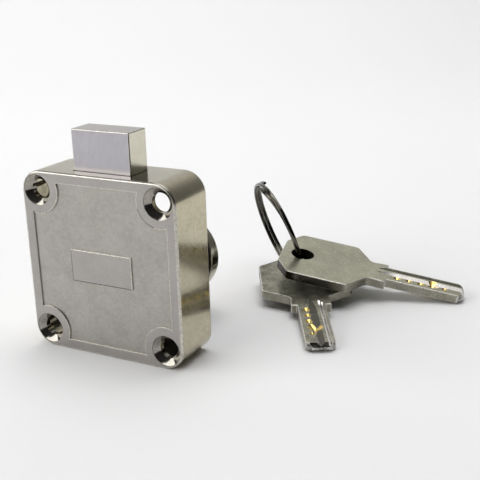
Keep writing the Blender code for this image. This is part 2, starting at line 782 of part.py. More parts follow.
def build_crank():
    axis = Matrix.Translation(BARREL_AXIS) @ ALONG_Y
    disc = rod(DISC_RADIUS, DISC_BACK, DISC_FRONT, axis)
    spare = math.radians(STOP_SPARE_DEGREES)
    start = math.degrees(math.pi - spare)
    end = math.degrees(math.tau + spare)
    steps = ROUND // 2
    inner = arc((0, BARREL_HEIGHT), STOP_TRACK_RADIUS, start, end, steps)
    outer = arc((0, BARREL_HEIGHT), DISC_RADIUS + OVERRUN, end, start, steps)
    cut(disc, wall_plate(inner + outer, DISC_BACK - OVERRUN, DISC_FRONT + OVERRUN))
    half = TAIL_SQUARE / 2 + RUNNING_GAP
    cut(
        disc,
        box(
            (-half, DISC_BACK - OVERRUN, BARREL_HEIGHT - half),
            (half, DISC_FRONT + OVERRUN, BARREL_HEIGHT + half),
        ),
    )
    pin_axis = y_axis(0, BARREL_HEIGHT + CRANK_RADIUS)
    hole = CRANK_PIN_RADIUS + RUNNING_GAP / 2
    cut(disc, rod(hole, DISC_BACK - OVERRUN, DISC_FRONT + OVERRUN, pin_axis, SMALL_ROUND))
    as_part(disc, "crank_disc", ZINC)
    tip = BOLT_BACK + SLIDING_GAP
    pin = rod(CRANK_PIN_RADIUS, tip, DISC_FRONT - SEAT_GAP, pin_axis, SMALL_ROUND, PLUG_CHAMFER)
    as_part(pin, "crank_pin", SPRING_STEEL)
    stop_axis = y_axis(-STOP_PIN_CIRCLE, BARREL_HEIGHT)
    low, high = DISC_BACK + SLIDING_GAP, FLANGE_FRONT - 2 * SEAT_GAP
    stop = rod(STOP_PIN_RADIUS, low, high, stop_axis, SMALL_ROUND, SEAT_GAP)
    as_part(stop, "stop_pin", SPRING_STEEL)


def build_cam_screw():
    axis = Matrix.Translation(BARREL_AXIS) @ ALONG_Y
    seat = DISC_BACK - SEAT_GAP
    head = CAM_SCREW_HEAD_RADIUS
    profile = [
        (0, DISC_BACK + CAM_SCREW_LENGTH),
        (CAM_SCREW_SHANK - CAM_SLOT_WIDTH / 2, DISC_BACK + CAM_SCREW_LENGTH),
        (CAM_SCREW_SHANK, DISC_BACK + CAM_SCREW_LENGTH - CAM_SLOT_WIDTH / 2),
        (CAM_SCREW_SHANK, seat),
        (head, seat),
        (head, seat - CAM_SCREW_HEAD / 2),
        (head - CAM_SCREW_HEAD / 2, seat - CAM_SCREW_HEAD),
        (0, seat - CAM_SCREW_HEAD),
    ]
    screw = turned(profile, axis)
    slot = CAM_SLOT_WIDTH / 2
    low = (-head, seat - CAM_SCREW_HEAD - OVERRUN, BARREL_HEIGHT - slot)
    high = (head, seat - CAM_SCREW_HEAD / 2, BARREL_HEIGHT + slot)
    cut(screw, box(low, high))
    as_part(screw, "cam_screw", SPRING_STEEL)


def build_flange_screws():
    places = {"left_lower": 0, "left_upper": 1, "right_lower": 2, "right_upper": 3}
    head = FLANGE_SCREW_HEAD_RADIUS
    seat = FLANGE_FRONT - FLANGE_SCREW_HEAD
    top = FLANGE_FRONT - SEAT_GAP
    shank = FLANGE_SCREW_SHANK
    profile = [
        (0, top),
        (head - DRIVE_SLOT / 2, top),
        (head, top - DRIVE_SLOT / 2),
        (head, seat),
        (shank, seat),
        (shank, seat - FLANGE_SCREW_LENGTH + shank),
        (0, seat - FLANGE_SCREW_LENGTH),
    ]
    for place, index in places.items():
        x, z = boss_places()[index]
        screw = turned(profile, y_axis(x, z), SMALL_ROUND)
        slot, arm = DRIVE_SLOT / 2, head - DRIVE_SLOT
        floor = top - DRIVE_SLOT
        cut(screw, box((x - arm, floor, z - slot), (x + arm, top + OVERRUN, z + slot)))
        cut(screw, box((x - slot, floor, z - arm), (x + slot, top + OVERRUN, z + arm)))
        as_part(screw, f"flange_screw_{place}", SPRING_STEEL)


def key_outline():
    """Half of the key's outline from the back of the bow to the tip, mirrored."""
    bow, back = KEY_BOW_WIDTH / 2, KEY_BACK_WIDTH / 2
    neck, shoulder, blade = KEY_NECK_WIDTH / 2, KEY_SHOULDER_WIDTH / 2, KEY_BLADE_WIDTH / 2
    tip = KEY_SHOULDER + KEY_BLADE_LENGTH
    half = [
        (-KEY_BOW_BACK, back),
        (-KEY_BOW_BACK + KEY_BOW_CHAMFER, bow),
        (KEY_BOW_FRONT, bow),
        (KEY_NECK, neck),
        (KEY_SHOULDER - KEY_TIP_TAPER, shoulder),
        (KEY_SHOULDER, shoulder),
        (KEY_SHOULDER, blade),
        (tip - KEY_TIP_TAPER, blade),
        (tip, blade - KEY_TIP_TAPER),
    ]
    radii = [KEY_TIP_TAPER, KEY_TIP_TAPER, KEY_TIP_TAPER, KEY_TIP_TAPER, 0, 0, 0, 0, 0]
    corners = half + [(x, -y) for x, y in reversed(half)]
    return rounded(corners, radii + radii[::-1], 3)


def key_shape(name, matrix):
    """A key with its hole at the origin, its blade along +X and its lower face at Z = 0."""
    key = plate(key_outline(), 0, KEY_THICKNESS, matrix)
    soften(key, KEY_EDGE)
    past = OVERRUN
    cut(key, rod(KEY_HOLE_RADIUS, -past, KEY_THICKNESS + past, matrix.copy(), SMALL_ROUND + 8))
    tip = KEY_SHOULDER + KEY_BLADE_LENGTH
    start = KEY_SHOULDER - KEY_TIP_TAPER
    middle = KEY_THICKNESS / 2
    flip = Matrix.Translation((0, 0, middle)) @ Matrix.Rotation(math.pi, 4, "X") @ Matrix.Translation((0, 0, -middle))
    along = Matrix.Rotation(math.pi / 2, 4, "Z") @ Matrix.Rotation(math.pi / 2, 4, "X")
    groove_side = KEY_BLADE_WIDTH / 2 - KEY_RAIL
    for face in (Matrix.Identity(4), flip):
        place = matrix @ face
        floor = KEY_THICKNESS - KEY_V_DEPTH
        lift = KEY_V_DEPTH
        spread = KEY_V_WIDTH / 2 * (KEY_V_DEPTH + lift) / KEY_V_DEPTH
        vee = [(0, floor), (spread, KEY_THICKNESS + lift), (-spread, KEY_THICKNESS + lift)]
        cut(key, plate(vee, start, tip + past, place @ along))
        groove = [
            (groove_side - KEY_GROOVE_WIDTH, KEY_THICKNESS + lift),
            (groove_side - KEY_GROOVE_WIDTH, KEY_THICKNESS - KEY_GROOVE_DEPTH),
            (groove_side, KEY_THICKNESS - KEY_GROOVE_DEPTH),
            (groove_side, KEY_THICKNESS + lift),
        ]
        cut(key, plate(groove, start, tip + past, place @ along))
        for index in range(PIN_COUNT):
            share = 1 - PIN_LIFT_SHARES[index % len(PIN_LIFT_SHARES)] / 2
            depth = DIMPLE_DEPTH * share
            radius = DIMPLE_RADIUS * share
            x = KEY_SHOULDER + FIRST_PIN + PIN_PITCH * index
            profile = [
                (0, KEY_THICKNESS + depth),
                (2 * radius - PIN_TIP_RADIUS / 2, KEY_THICKNESS + depth),
                (PIN_TIP_RADIUS / 2, KEY_THICKNESS - depth),
                (0, KEY_THICKNESS - depth),
            ]
            dimple = turned(profile, place @ Matrix.Translation((x, -PIN_ROW, 0)), SMALL_ROUND)
            cut(key, dimple)
    bite = middle - KEY_EDGE
    for face in (Matrix.Identity(4), flip):
        wedge = [
            (tip - bite, KEY_THICKNESS + past),
            (tip - bite - past, KEY_THICKNESS + past),
            (tip - bite, KEY_THICKNESS),
            (tip + past, KEY_THICKNESS - bite - past),
            (tip + past, KEY_THICKNESS + past),
        ]
        side = Matrix.Rotation(math.pi / 2, 4, "X")
        wide = KEY_BOW_WIDTH / 2
        cut(key, plate(wedge, -wide, wide, matrix @ face @ side))
    return as_part(key, name, NICKEL)


def key_frame(x, y, height, heading, tilt, roll):
    """A frame at the hole: X falls towards the tip by the tilt, and the far side rises by the roll."""
    ahead = Vector((math.cos(heading) * math.cos(tilt), math.sin(heading) * math.cos(tilt), -math.sin(tilt)))
    level = Vector((-math.sin(heading), math.cos(heading), 0))
    normal = ahead.cross(level)
    across = level * math.cos(roll) + normal * math.sin(roll)
    normal = ahead.cross(across)
    frame = Matrix((ahead, across, normal)).transposed().to_4x4()
    frame.translation = (x, y, height)
    return frame


def tip_reach():
    """From the hole to the corner on which a tilted key's tip stands."""
    return KEY_SHOULDER + KEY_BLADE_LENGTH - KEY_THICKNESS / 2 + KEY_EDGE


def lower_frame():
    tilt = math.asin(LOWER_KEY_LIFT / tip_reach())
    heading = math.radians(LOWER_KEY_DEGREES)
    return key_frame(LOWER_KEY_X, LOWER_KEY_Y, LOWER_KEY_LIFT, heading, tilt, 0)


def within(outline, x, y):
    """Whether a point lies inside the outline."""
    found = False
    for (ax, ay), (bx, by) in zip(outline, outline[1:] + outline[:1]):
        if (ay > y) != (by > y) and x < (bx - ax) * (y - ay) / (by - ay) + ax:
            found = not found
    return found


def stack_gap(lower, upper):
    """The least gap between the lower key's upper face and the upper key's underside."""
    outline = key_outline()
    dense = [
        (ax + (bx - ax) * step / LOOP_POINTS, ay + (by - ay) * step / LOOP_POINTS)
        for (ax, ay), (bx, by) in zip(outline, outline[1:] + outline[:1])
        for step in range(LOOP_POINTS)
    ]
    gaps = [KEY_BOW_WIDTH]
    to_lower = lower.inverted() @ upper
    to_upper = upper.inverted() @ lower
    for x, y in dense:
        place = to_lower @ Vector((x, y, 0))
        if within(outline, place.x, place.y):
            gaps.append(place.z - KEY_THICKNESS)
        place = to_upper @ Vector((x, y, KEY_THICKNESS))
        if within(outline, place.x, place.y):
            gaps.append(-place.z)
    return min(gaps)


def upper_frame():
    """The upper key lies on the lower one's bow and on its own tip."""
    roll = math.radians(UPPER_KEY_ROLL_DEGREES)
    heading = math.radians(UPPER_KEY_DEGREES)
    drop = KEY_BLADE_WIDTH / 2 * math.sin(roll)
    under = lower_frame()
    height = LOWER_KEY_LIFT + KEY_THICKNESS
    for _ in range(LOOP_POINTS):
        tilt = math.asin((height - drop) / tip_reach())
        frame = key_frame(UPPER_KEY_X, UPPER_KEY_Y, height, heading, tilt, roll)
        height += KEY_GAP - stack_gap(under, frame)
    return frame


def loop_frame(lower, upper):
    """The split ring's centre, with X along the floor and Y up the ring's lean."""
    heading = math.radians(LOOP_DEGREES)
    lean = math.radians(LOOP_LEAN_DEGREES)
    level = Vector((math.cos(heading), math.sin(heading), 0))
    aside = Vector((math.sin(heading), -math.cos(heading), 0))
    up = Vector((0, 0, math.cos(lean))) + aside * math.sin(lean)
    middle = (lower + upper) @ Vector((0, 0, KEY_THICKNESS / 2)) / 2
    pitch = 2 * WIRE_RADIUS + WIRE_GAP
    tilted = abs(math.sin(lean)) * pitch * LOOP_TURNS / 2
    height = LOOP_RADIUS * math.cos(lean) + WIRE_RADIUS + tilted
    rise = (height - middle.z) / math.cos(lean)
    reach = math.sqrt(LOOP_RADIUS**2 - rise**2) - LOOP_PASS_AHEAD
    centre = middle + level * reach + aside * (LOOP_PASS_ASIDE + math.sin(lean) * rise)
    centre.z = height
    frame = Matrix((level, up, level.cross(up))).transposed().to_4x4()
    frame.translation = centre
    return frame


def build_keys():
    lower, upper = lower_frame(), upper_frame()
    key_shape("lower_key", lower)
    key_shape("upper_key", upper)
    pitch = 2 * WIRE_RADIUS + WIRE_GAP
    points = []
    for step in range(int(LOOP_TURNS * LOOP_POINTS) + 1):
        turns = step / LOOP_POINTS
        angle = math.pi / 2 + math.tau * turns
        offset = pitch * (turns - LOOP_TURNS / 2)
        points.append((LOOP_RADIUS * math.cos(angle), LOOP_RADIUS * math.sin(angle), offset))
    ring = tube(points, WIRE_RADIUS, 1, loop_frame(lower, upper))
    gap = least_gap(points, WIRE_RADIUS, LOOP_POINTS // 2)
    print(f"least gap of the split ring to itself: {gap * 1000:.2f} mm")
    as_part(ring, "key_ring", SPRING_STEEL)


def main():
    build_case()
    build_bolt()
    build_housing()
    build_strip()
    build_front_ring()
    build_plug()
    build_pins()
    build_crank()
    build_cam_screw()
    build_flange_screws()
    build_keys()


main()
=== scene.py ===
"""Drawer lock of nickel-plated die-cast zinc, with two nickel-plated dimple keys on a split ring.

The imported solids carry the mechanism. The shown pieces are rebuilt here with finer edges and
turned faces. Lengths are metres. The lock stands on z = 0 and its barrel points along +Y.
"""

import json
import math

import bmesh
import bpy
from mathutils import Matrix, Vector

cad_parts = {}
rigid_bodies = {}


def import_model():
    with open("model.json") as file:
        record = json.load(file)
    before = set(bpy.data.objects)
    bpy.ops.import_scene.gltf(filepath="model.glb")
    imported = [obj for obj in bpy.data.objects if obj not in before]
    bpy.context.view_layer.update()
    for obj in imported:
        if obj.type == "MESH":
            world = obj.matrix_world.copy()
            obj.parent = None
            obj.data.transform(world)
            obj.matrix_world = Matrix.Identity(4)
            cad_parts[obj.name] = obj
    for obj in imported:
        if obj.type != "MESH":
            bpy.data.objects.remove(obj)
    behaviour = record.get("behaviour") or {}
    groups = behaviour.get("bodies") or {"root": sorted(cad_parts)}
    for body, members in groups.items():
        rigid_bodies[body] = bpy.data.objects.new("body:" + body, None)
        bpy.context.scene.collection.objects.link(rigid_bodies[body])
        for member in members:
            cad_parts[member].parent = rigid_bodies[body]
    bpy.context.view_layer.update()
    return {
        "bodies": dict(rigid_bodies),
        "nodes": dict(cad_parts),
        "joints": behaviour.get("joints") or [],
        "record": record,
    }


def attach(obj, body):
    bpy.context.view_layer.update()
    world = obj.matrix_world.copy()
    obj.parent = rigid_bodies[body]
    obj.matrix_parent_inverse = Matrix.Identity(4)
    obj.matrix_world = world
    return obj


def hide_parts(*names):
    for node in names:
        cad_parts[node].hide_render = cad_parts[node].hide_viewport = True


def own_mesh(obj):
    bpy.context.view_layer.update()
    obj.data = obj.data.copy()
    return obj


MM = 0.001

# How far a cutter runs past what it cuts, on the lock and on the thinner keys
PAST = 1.0 * MM
KEY_PAST = 0.5 * MM
# What the Booleans leave that is narrower than this is dissolved
SLIVER = 0.003 * MM
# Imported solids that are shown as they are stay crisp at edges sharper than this, in degrees
PACKED_CREASE = 32

# Case
CASE_WIDTH = 40.0 * MM
CASE_HEIGHT = 42.0 * MM
CASE_DEPTH = 13.0 * MM
CASE_CORNER = 5.0 * MM
CASE_EDGE = 0.5 * MM
FINE_EDGE = 0.15 * MM
SIDE_WALL = 1.6 * MM
BACK_WALL = 2.5 * MM
MOUTH_DEPTH = 3.0 * MM
# Sunk panel and the bare pad in it
RECESS_DEPTH = 0.4 * MM
RECESS_BORDER = 2.5 * MM
CORNER_LAND = 2.1 * MM
LAND_STEPS = 20
PAD_WIDTH = 16.0 * MM
PAD_HEIGHT = 7.4 * MM
DRAFT = 0.05 * MM
ARRIS_WIDTH = 0.22 * MM
ARRIS_DEPTH = 0.10 * MM
# Countersunk holes for the fixing screws
SCREW_FROM_SIDE = 4.2 * MM
SCREW_FROM_END = 4.4 * MM
SCREW_HOLE_RADIUS = 2.2 * MM
COUNTERSINK_RADIUS = 3.45 * MM
RIM_CHAMFER = 0.12 * MM
# Bosses that the flange is screwed to
BOSS_SIDE = 10.6 * MM
BOSS_HEIGHTS = (8.3 * MM, 22.8 * MM)
BOSS_RADIUS = 2.2 * MM
BOSS_FRONT = 3.4 * MM
BOSS_ROOT = 0.3 * MM

# Bolt
BOLT_WIDTH = 15.0 * MM
BOLT_BACK = -3.4 * MM
BOLT_FRONT = 3.1 * MM
BOLT_TOP = 51.3 * MM
BOLT_EDGE = 0.32 * MM
TAIL_FRONT = -0.8 * MM
TAIL_HALF = 8.0 * MM
TAIL_BOTTOM = 14.3 * MM
TAIL_SHOULDER = 23.7 * MM
TAIL_CORNER = 1.0 * MM
HEAD_BOTTOM = 31.4 * MM
SLOT_HALF = 6.4 * MM
SLOT_BOTTOM = 16.31 * MM
SLOT_TOP = 21.69 * MM
SLOT_CORNER = 1.5 * MM
SLIDING_GAP = 0.2 * MM
BACK_GAP = 1.6 * SLIDING_GAP

# Trim ring on the barrel
BARREL_HEIGHT = 14.3 * MM
RING_RADIUS = 10.2 * MM
RING_INSIDE = 9.3 * MM
RING_LIP = 6.7 * MM
RING_LIP_DEPTH = 0.5 * MM
RING_LIP_ARRIS = 0.1 * MM
RING_FRONT = 28.45 * MM
RING_BACK = 24.95 * MM
RING_ROLL = 0.5 * MM
RING_ROLL_STEPS = 6
RING_BACK_ARRIS = 0.12 * MM

# Keys, each in its own frame: the hole at the origin and the blade along +X
KEY_THICKNESS = 2.3 * MM
KEY_BOW_HALF = 11.5 * MM
KEY_BACK_HALF = 6.0 * MM
KEY_BOW_BACK = 5.5 * MM
KEY_BOW_FRONT = 13.5 * MM
KEY_BOW_CHAMFER = 3.6 * MM
KEY_NECK = 18.0 * MM
KEY_NECK_HALF = 4.6 * MM
KEY_SHOULDER = 22.5 * MM
KEY_SHOULDER_HALF = 5.0 * MM
KEY_BLADE_HALF = 3.5 * MM
KEY_TIP = 42.5 * MM
KEY_TAPER = 1.6 * MM
KEY_EDGE = 0.25 * MM
KEY_RIM = 0.09 * MM
# The upper key's hole narrows to its foot, and the lower key's flares to clear the ring
KEY_HOLE_RADIUS = 3.0 * MM
UPPER_HOLE_FOOT = 1.45 * MM
LOWER_HOLE_FOOT = 3.4 * MM
SHADED_LAND_RADIUS = 5.0 * MM
SHADED_LAND_DEPTH = 0.01 * MM
# V groove, and its run: each share of its full size, and how far from the shoulder it has it
VEE_HALF = 1.0 * MM
VEE_DEPTH = 0.75 * MM
VEE_RUN = (
    (0.04, -3.0 * MM),
    (0.45, -1.2 * MM),
    (0.85, 0.8 * MM),
    (1.0, 2.4 * MM),
    (1.0, 21.5 * MM),
)
# Each flute's near side, far side, depth and start, and their run, measured from the start
FLUTES = (
    (1.75 * MM, 2.3 * MM, 0.62 * MM, -2.2 * MM),
    (2.5 * MM, 2.85 * MM, 0.45 * MM, -1.2 * MM),
)
FLUTE_RUN = (
    (0.05, 0.0 * MM),
    (0.55, 0.5 * MM),
    (0.85, 1.1 * MM),
    (1.0, 1.9 * MM),
    (1.0, 23.0 * MM),
)
# Dimples, one for each pin
FIRST_PIN = 2.6 * MM
PIN_PITCH = 3.05 * MM
DIMPLE_RADII = (1.05 * MM, 0.9 * MM, 1.0 * MM, 1.85 * MM, 0.75 * MM)
DIMPLE_ROWS = (1.41 * MM, 1.39 * MM, 1.42 * MM, 0.42 * MM, 1.4 * MM)
DIMPLE_SLOPE_SHARE = 0.6
DIMPLE_FLAT = 0.15 * MM
# Half the length of the wedge that crops the tip, which is longer than the blade is wide
CROP_HALF = 8.0 * MM
# How strong the painted shade on the sheared edge is at the bow's back, and what that loses
# along the bow and upwards
SHADE_AT_BACK = 1.7
SHADE_LOST_ALONG = 1.5
SHADE_LOST_UP = 0.4
# Where each key's hole stands, then heading and roll in degrees
TIP_REACH = KEY_TIP - KEY_THICKNESS / 2 + KEY_EDGE
UPPER_KEY = ((23.54 * MM, 48.95 * MM, 8.04 * MM), 13.8, 5.8)
LOWER_KEY = ((22.35 * MM, 51.84 * MM, 3.07 * MM), -60.4, 0.0)

# Split ring: flattened wire in two turns, each end cut back by a share of a turn
WIRE_RADIUS = 0.4 * MM
WIRE_HALF_WIDTH = 0.52 * MM
WIRE_PITCH = 1.08 * MM
WIRE_STEP_OUT = 0.84 * MM
WIRE_CUT_BACK = 0.014
WIRE_SIDES = 20
WIRE_SQUARENESS = 0.75
WIRE_END_GIRTH = (0.86, 0.93)
TURN_STEPS = 96
CROSSING_SPREAD = 0.7
LOOP_RADIUS = 13.3 * MM
LOOP_CENTRE = (13.95 * MM, 55.30 * MM, 14.1 * MM)
LOOP_HEADING = 134.6
LOOP_LEAN = -18.8

# Camera, matched to the edges of the lock in the photograph
CAMERA_PLACE = (114.19 * MM, -156.56 * MM, 87.74 * MM)
CAMERA_AZIMUTH = 27.90
CAMERA_ELEVATION = 18.10
CAMERA_ROLL = -1.66
FOCAL_PIXELS = 900
FRAME_PIXELS = 480
SENSOR_MM = 36.0
NEAREST = 10.0 * MM

# The room is brightest towards the window, from dark to bright over this span of the cosine
WINDOW = (-0.62, -0.48, 0.62)
ROOM_SPAN = (-0.5, 0.9)
ROOM_DARK = 0.14
ROOM_BRIGHT = 1.1
# Each soft light's name, place, size and power, and what it is aimed at
SUBJECT_AIM = (0.01, 0.02, 0.02)
BACKDROP_AIM = (-0.30, 0.56, 0.25)
SOFT_LIGHTS = (
    ("soft_light_left", (-0.66, -0.72, 0.50), (1.3, 0.6), 9.6, SUBJECT_AIM),
    ("soft_light_above", (0.05, 0.15, 0.80), (0.7, 0.6), 3.5, SUBJECT_AIM),
    ("backdrop_light", (-0.06, 0.16, 0.85), (0.9, 0.2), 1.3, BACKDROP_AIM),
)
# Paper sweep: a floor that bends up behind the lock, in the direction that the camera looks
SWEEP_NEAR = -0.6
SWEEP_BEND = 0.35
SWEEP_RADIUS = 0.25
SWEEP_TOP = 1.2
SWEEP_HALF = 1.5
SWEEP_STEPS = 12

UNTURNED = Matrix.Identity(4)
# A frame whose XY plane is the lock's XZ plane, so that heights run along -Y
UPRIGHT = Matrix.Rotation(math.pi / 2, 4, "X")
# A frame whose Z axis is the lock's +Y
ALONG_Y = Matrix.Rotation(-math.pi / 2, 4, "X")
# The half turn that brings a key's lower face up
KEY_MIDDLE = Matrix.Translation((0, 0, KEY_THICKNESS / 2))
TURNED_OVER = KEY_MIDDLE @ Matrix.Rotation(math.pi, 4, "X") @ KEY_MIDDLE.inverted()


def linear(code):
    """An sRGB hex colour as linear red, green, blue and alpha."""
    parts = [int(code[place : place + 2], 16) / 255 for place in (1, 3, 5)]
    return (*[c / 12.92 if c <= 0.04045 else ((c + 0.055) / 1.055) ** 2.4 for c in parts], 1)


def add(tree, kind, settings=None, links=None):
    """Adds a node with its settings and links, and returns it."""
    node = tree.nodes.new(kind)
    for name, value in (settings or {}).items():
        if isinstance(name, str) and hasattr(node, name):
            setattr(node, name, value)
        else:
            node.inputs[name].default_value = value
    for name, socket in (links or {}).items():
        tree.links.new(socket, node.inputs[name])
    return node


def plated_metal(
    name, dark, light, cloud_mm, grain_mm, rough, grain_height_mm, streak=(1, 1, 1), dent_mm=0
):
    """A metal whose colour and gloss drift in clouds, with a fine grain that catches the light.

    The streak draws the grain out along an axis. Dents are small round knocks, as far apart as
    their size says, each lightened in colour as a painted glint. Where a mesh carries a
    "painted_shade" value, the metal is darkened towards brown there as painted shade.
    """
    made = bpy.data.materials.new(name)
    made.use_nodes = True
    tree = made.node_tree
    shader = tree.nodes["Principled BSDF"]
    shader.inputs["Metallic"].default_value = 1.0
    place = add(tree, "ShaderNodeTexCoord").outputs["Object"]
    drawn = add(tree, "ShaderNodeMapping", {"Scale": streak}, {"Vector": place}).outputs["Vector"]
    clouds = {"Scale": 1 / (cloud_mm * MM), "Detail": 3.0, "Roughness": 0.55}
    cloud = add(tree, "ShaderNodeTexNoise", clouds, {"Vector": place}).outputs["Fac"]
    grains = {"Scale": 1 / (grain_mm * MM), "Detail": 4.0, "Roughness": 0.6}
    grain = add(tree, "ShaderNodeTexNoise", grains, {"Vector": drawn}).outputs["Fac"]
    halve = {"operation": "MULTIPLY", 1: 0.5}
    half = add(tree, "ShaderNodeMath", halve, {0: grain}).outputs[0]
    halve_and_add = {"operation": "MULTIPLY_ADD", 1: 0.5}
    both = add(tree, "ShaderNodeMath", halve_and_add, {0: cloud, 2: half}).outputs[0]
    drift = {"From Min": 0.36, "From Max": 0.64}
    tint = add(tree, "ShaderNodeMapRange", drift, {"Value": both}).outputs["Result"]
    tones = {"data_type": "RGBA", "A": linear(dark), "B": linear(light)}
    colour = add(tree, "ShaderNodeMix", tones, {"Factor": tint}).outputs["Result"]
    height = grain
    if dent_mm:
        knocks = {"Scale": 1 / (dent_mm * MM)}
        cells = add(tree, "ShaderNodeTexVoronoi", knocks, {"Vector": place}).outputs["Distance"]
        dent = {"From Min": 0.08, "From Max": 0.2, "To Min": 1.0, "To Max": 0.0}
        spot = add(tree, "ShaderNodeMapRange", dent, {"Value": cells}).outputs["Result"]
        raise_and_add = {"operation": "MULTIPLY_ADD", 1: 1.6}
        height = add(tree, "ShaderNodeMath", raise_and_add, {0: spot, 2: grain}).outputs[0]
        # Painted glint: each knock is lightened in colour
        glint = {"data_type": "RGBA", "blend_type": "ADD", "B": linear("#81817C")}
        colour = add(tree, "ShaderNodeMix", glint, {"Factor": spot, "A": colour}).outputs["Result"]
    # Painted shade: a marked mesh is darkened towards brown in patches
    painted_shade_mask = add(tree, "ShaderNodeAttribute", {"attribute_name": "painted_shade"}).outputs["Fac"]
    patch = {"From Min": 0.25, "From Max": 0.5}
    patchy = add(tree, "ShaderNodeMapRange", patch, {"Value": both}).outputs["Result"]
    multiply = {"operation": "MULTIPLY"}
    spread = add(tree, "ShaderNodeMath", multiply, {0: painted_shade_mask, 1: patchy}).outputs[0]
    painted_shade_tone = {"data_type": "RGBA", "B": linear("#1F1812")}
    colour = add(tree, "ShaderNodeMix", painted_shade_tone, {"Factor": spread, "A": colour}).outputs["Result"]
    tree.links.new(colour, shader.inputs["Base Color"])
    span = {"From Min": 0.3, "From Max": 0.7, "To Min": rough[0], "To Max": rough[1]}
    gloss = add(tree, "ShaderNodeMapRange", span, {"Value": both}).outputs["Result"]
    tree.links.new(gloss, shader.inputs["Roughness"])
    relief = {"Strength": 0.5, "Distance": grain_height_mm * MM}
    bump = add(tree, "ShaderNodeBump", relief, {"Height": height}).outputs["Normal"]
    tree.links.new(bump, shader.inputs["Normal"])
    return made


# Each metal: its name, darker and lighter tone, width of its clouds and of its grain, least and
# most roughness, and height of its grain. Real grain is finer than these 0.3 to 0.9 mm, but finer
# grain wouldn't show in the picture.

# Die-cast zinc blasted, then nickel plated: a soft grey, faintly warm, with cloudy patches and a
# fine cast skin
cast_nickel = plated_metal(
    "satin_nickel_on_cast_zinc", "#A19D9A", "#AEAAA6", 7.0, 0.5, (0.3, 0.4), 0.010
)
# The sunk panel keeps the skin of the die: warmer, blotchy and a little rougher than the border
panel_nickel = plated_metal(
    "die_skin_under_nickel", "#A09D97", "#B2AFA9", 4.0, 0.7, (0.3, 0.42), 0.014
)
# The drawn sides of the casting: smoother under the same plate, so they mirror what stands near,
# and painted brighter and yellower as a painted warm light from the right and behind
lit_side_nickel = plated_metal(
    "nickel_on_cast_side_painted_warm_light", "#B4AD95", "#CDC6AE", 7.0, 0.9, (0.09, 0.17), 0.018
)
# Arrises painted brighter than the faces as a painted highlight, a little uneven along their
# length
painted_highlight_edge = plated_metal(
    "nickel_edge_with_painted_highlight", "#A9A59C", "#D8D5CC", 0.9, 0.4, (0.24, 0.36), 0.005
)
# Arrises and chamfers painted dark as painted shade
painted_shade_edge = plated_metal("painted_shade_edge", "#3B3935", "#7C7972", 0.8, 0.4, (0.3, 0.45), 0.01)
# Countersinks turned after casting and plated bright: mirrors of the dark room, with hard
# highlights
countersink_nickel = plated_metal(
    "turned_nickel_countersink", "#8C8981", "#AAA69E", 2.0, 0.5, (0.09, 0.15), 0.002
)
# Ground face of the bolt: cool, nearly plain, with short upright grinding lines too fine to count
bolt_nickel = plated_metal(
    "ground_nickel_bolt_face", "#AFACB1", "#BAB7BD", 5.0, 0.5, (0.28, 0.36), 0.004, (1.0, 1.0, 0.2)
)
# Sheared sides of the bolt: painted warmer and brighter than its face, as a painted warm light
lit_bolt_side_nickel = plated_metal(
    "nickel_on_bolt_side_painted_warm_light", "#D3CFBD", "#E8E4D3", 5.0, 0.5, (0.18, 0.26), 0.005
)
# Polished nickel trim ring: bright, with faint turning marks
ring_nickel = plated_metal(
    "polished_nickel_trim", "#9F9B89", "#B8B4A2", 5.0, 0.4, (0.12, 0.2), 0.003
)
# Barrel finished black: dull, so the inside of the case falls dark behind the screw holes
black_zinc = plated_metal(
    "blackened_cast_zinc", "#1B1B1C", "#2B2B2C", 5.0, 0.4, (0.38, 0.5), 0.008
)
# Tumbled nickel plate on the keys: a greenish grey, with a fine speckle and small knocks from the
# tumbler, each knock lightened in colour as a painted glint
key_nickel = plated_metal(
    "tumbled_nickel_key", "#8B8A78", "#ADAB97", 5.0, 0.45, (0.26, 0.4), 0.04, dent_mm=1.1
)
# The same plate on the key beneath: painted darker as painted shade from the key above, and more
# knocked
painted_shade_key_nickel = plated_metal(
    "nickel_key_with_painted_shade", "#5E5D51", "#A2A08E", 2.5, 0.45, (0.26, 0.42), 0.045, dent_mm=0.9
)
# Edges of the blank, sheared and left with a torn band, painted brown by the bow's back as a
# painted dark reflection
sheared_nickel = plated_metal(
    "sheared_key_edge", "#7F7D70", "#A3A193", 3.0, 0.5, (0.24, 0.4), 0.02
)
# Grooves milled before plating: bright and nearly smooth
milled_nickel = plated_metal(
    "milled_nickel_groove", "#AEABA6", "#CFCBC5", 3.0, 0.6, (0.2, 0.3), 0.002
)
# Dimples drilled through the plate into the brass beneath: clean yellow cones that glint
drilled_brass = plated_metal(
    "drilled_brass_dimple", "#C6A550", "#F6E19A", 1.2, 0.4, (0.16, 0.26), 0.006
)
# Tip of the blade, cropped and left rough under the plate, its colour broken into near-black and
# near-white patches as painted glints and painted dark reflections
cropped_tip = plated_metal("cropped_key_tip", "#34322F", "#DAD8D3", 1.3, 0.5, (0.12, 0.26), 0.03)
# Wall of a punched hole, painted near black as painted shade; the ring wire's cut ends take it too
painted_shade_wall = plated_metal(
    "hole_wall_painted_shade", "#060605", "#100F0D", 2.0, 0.4, (0.5, 0.65), 0.01
)
# Land under the other key and far wall of the V groove: painted dark as painted shade, with fine
# wear
painted_shade_land = plated_metal(
    "painted_shade_key_land", "#46453E", "#68665D", 2.5, 0.4, (0.35, 0.5), 0.006
)
# Turned brass of the plug, pins and chamber strip: a warm, even yellow with a soft shine
turned_brass = plated_metal("turned_brass", "#B08D45", "#C9A85C", 5.0, 0.3, (0.18, 0.28), 0.004)
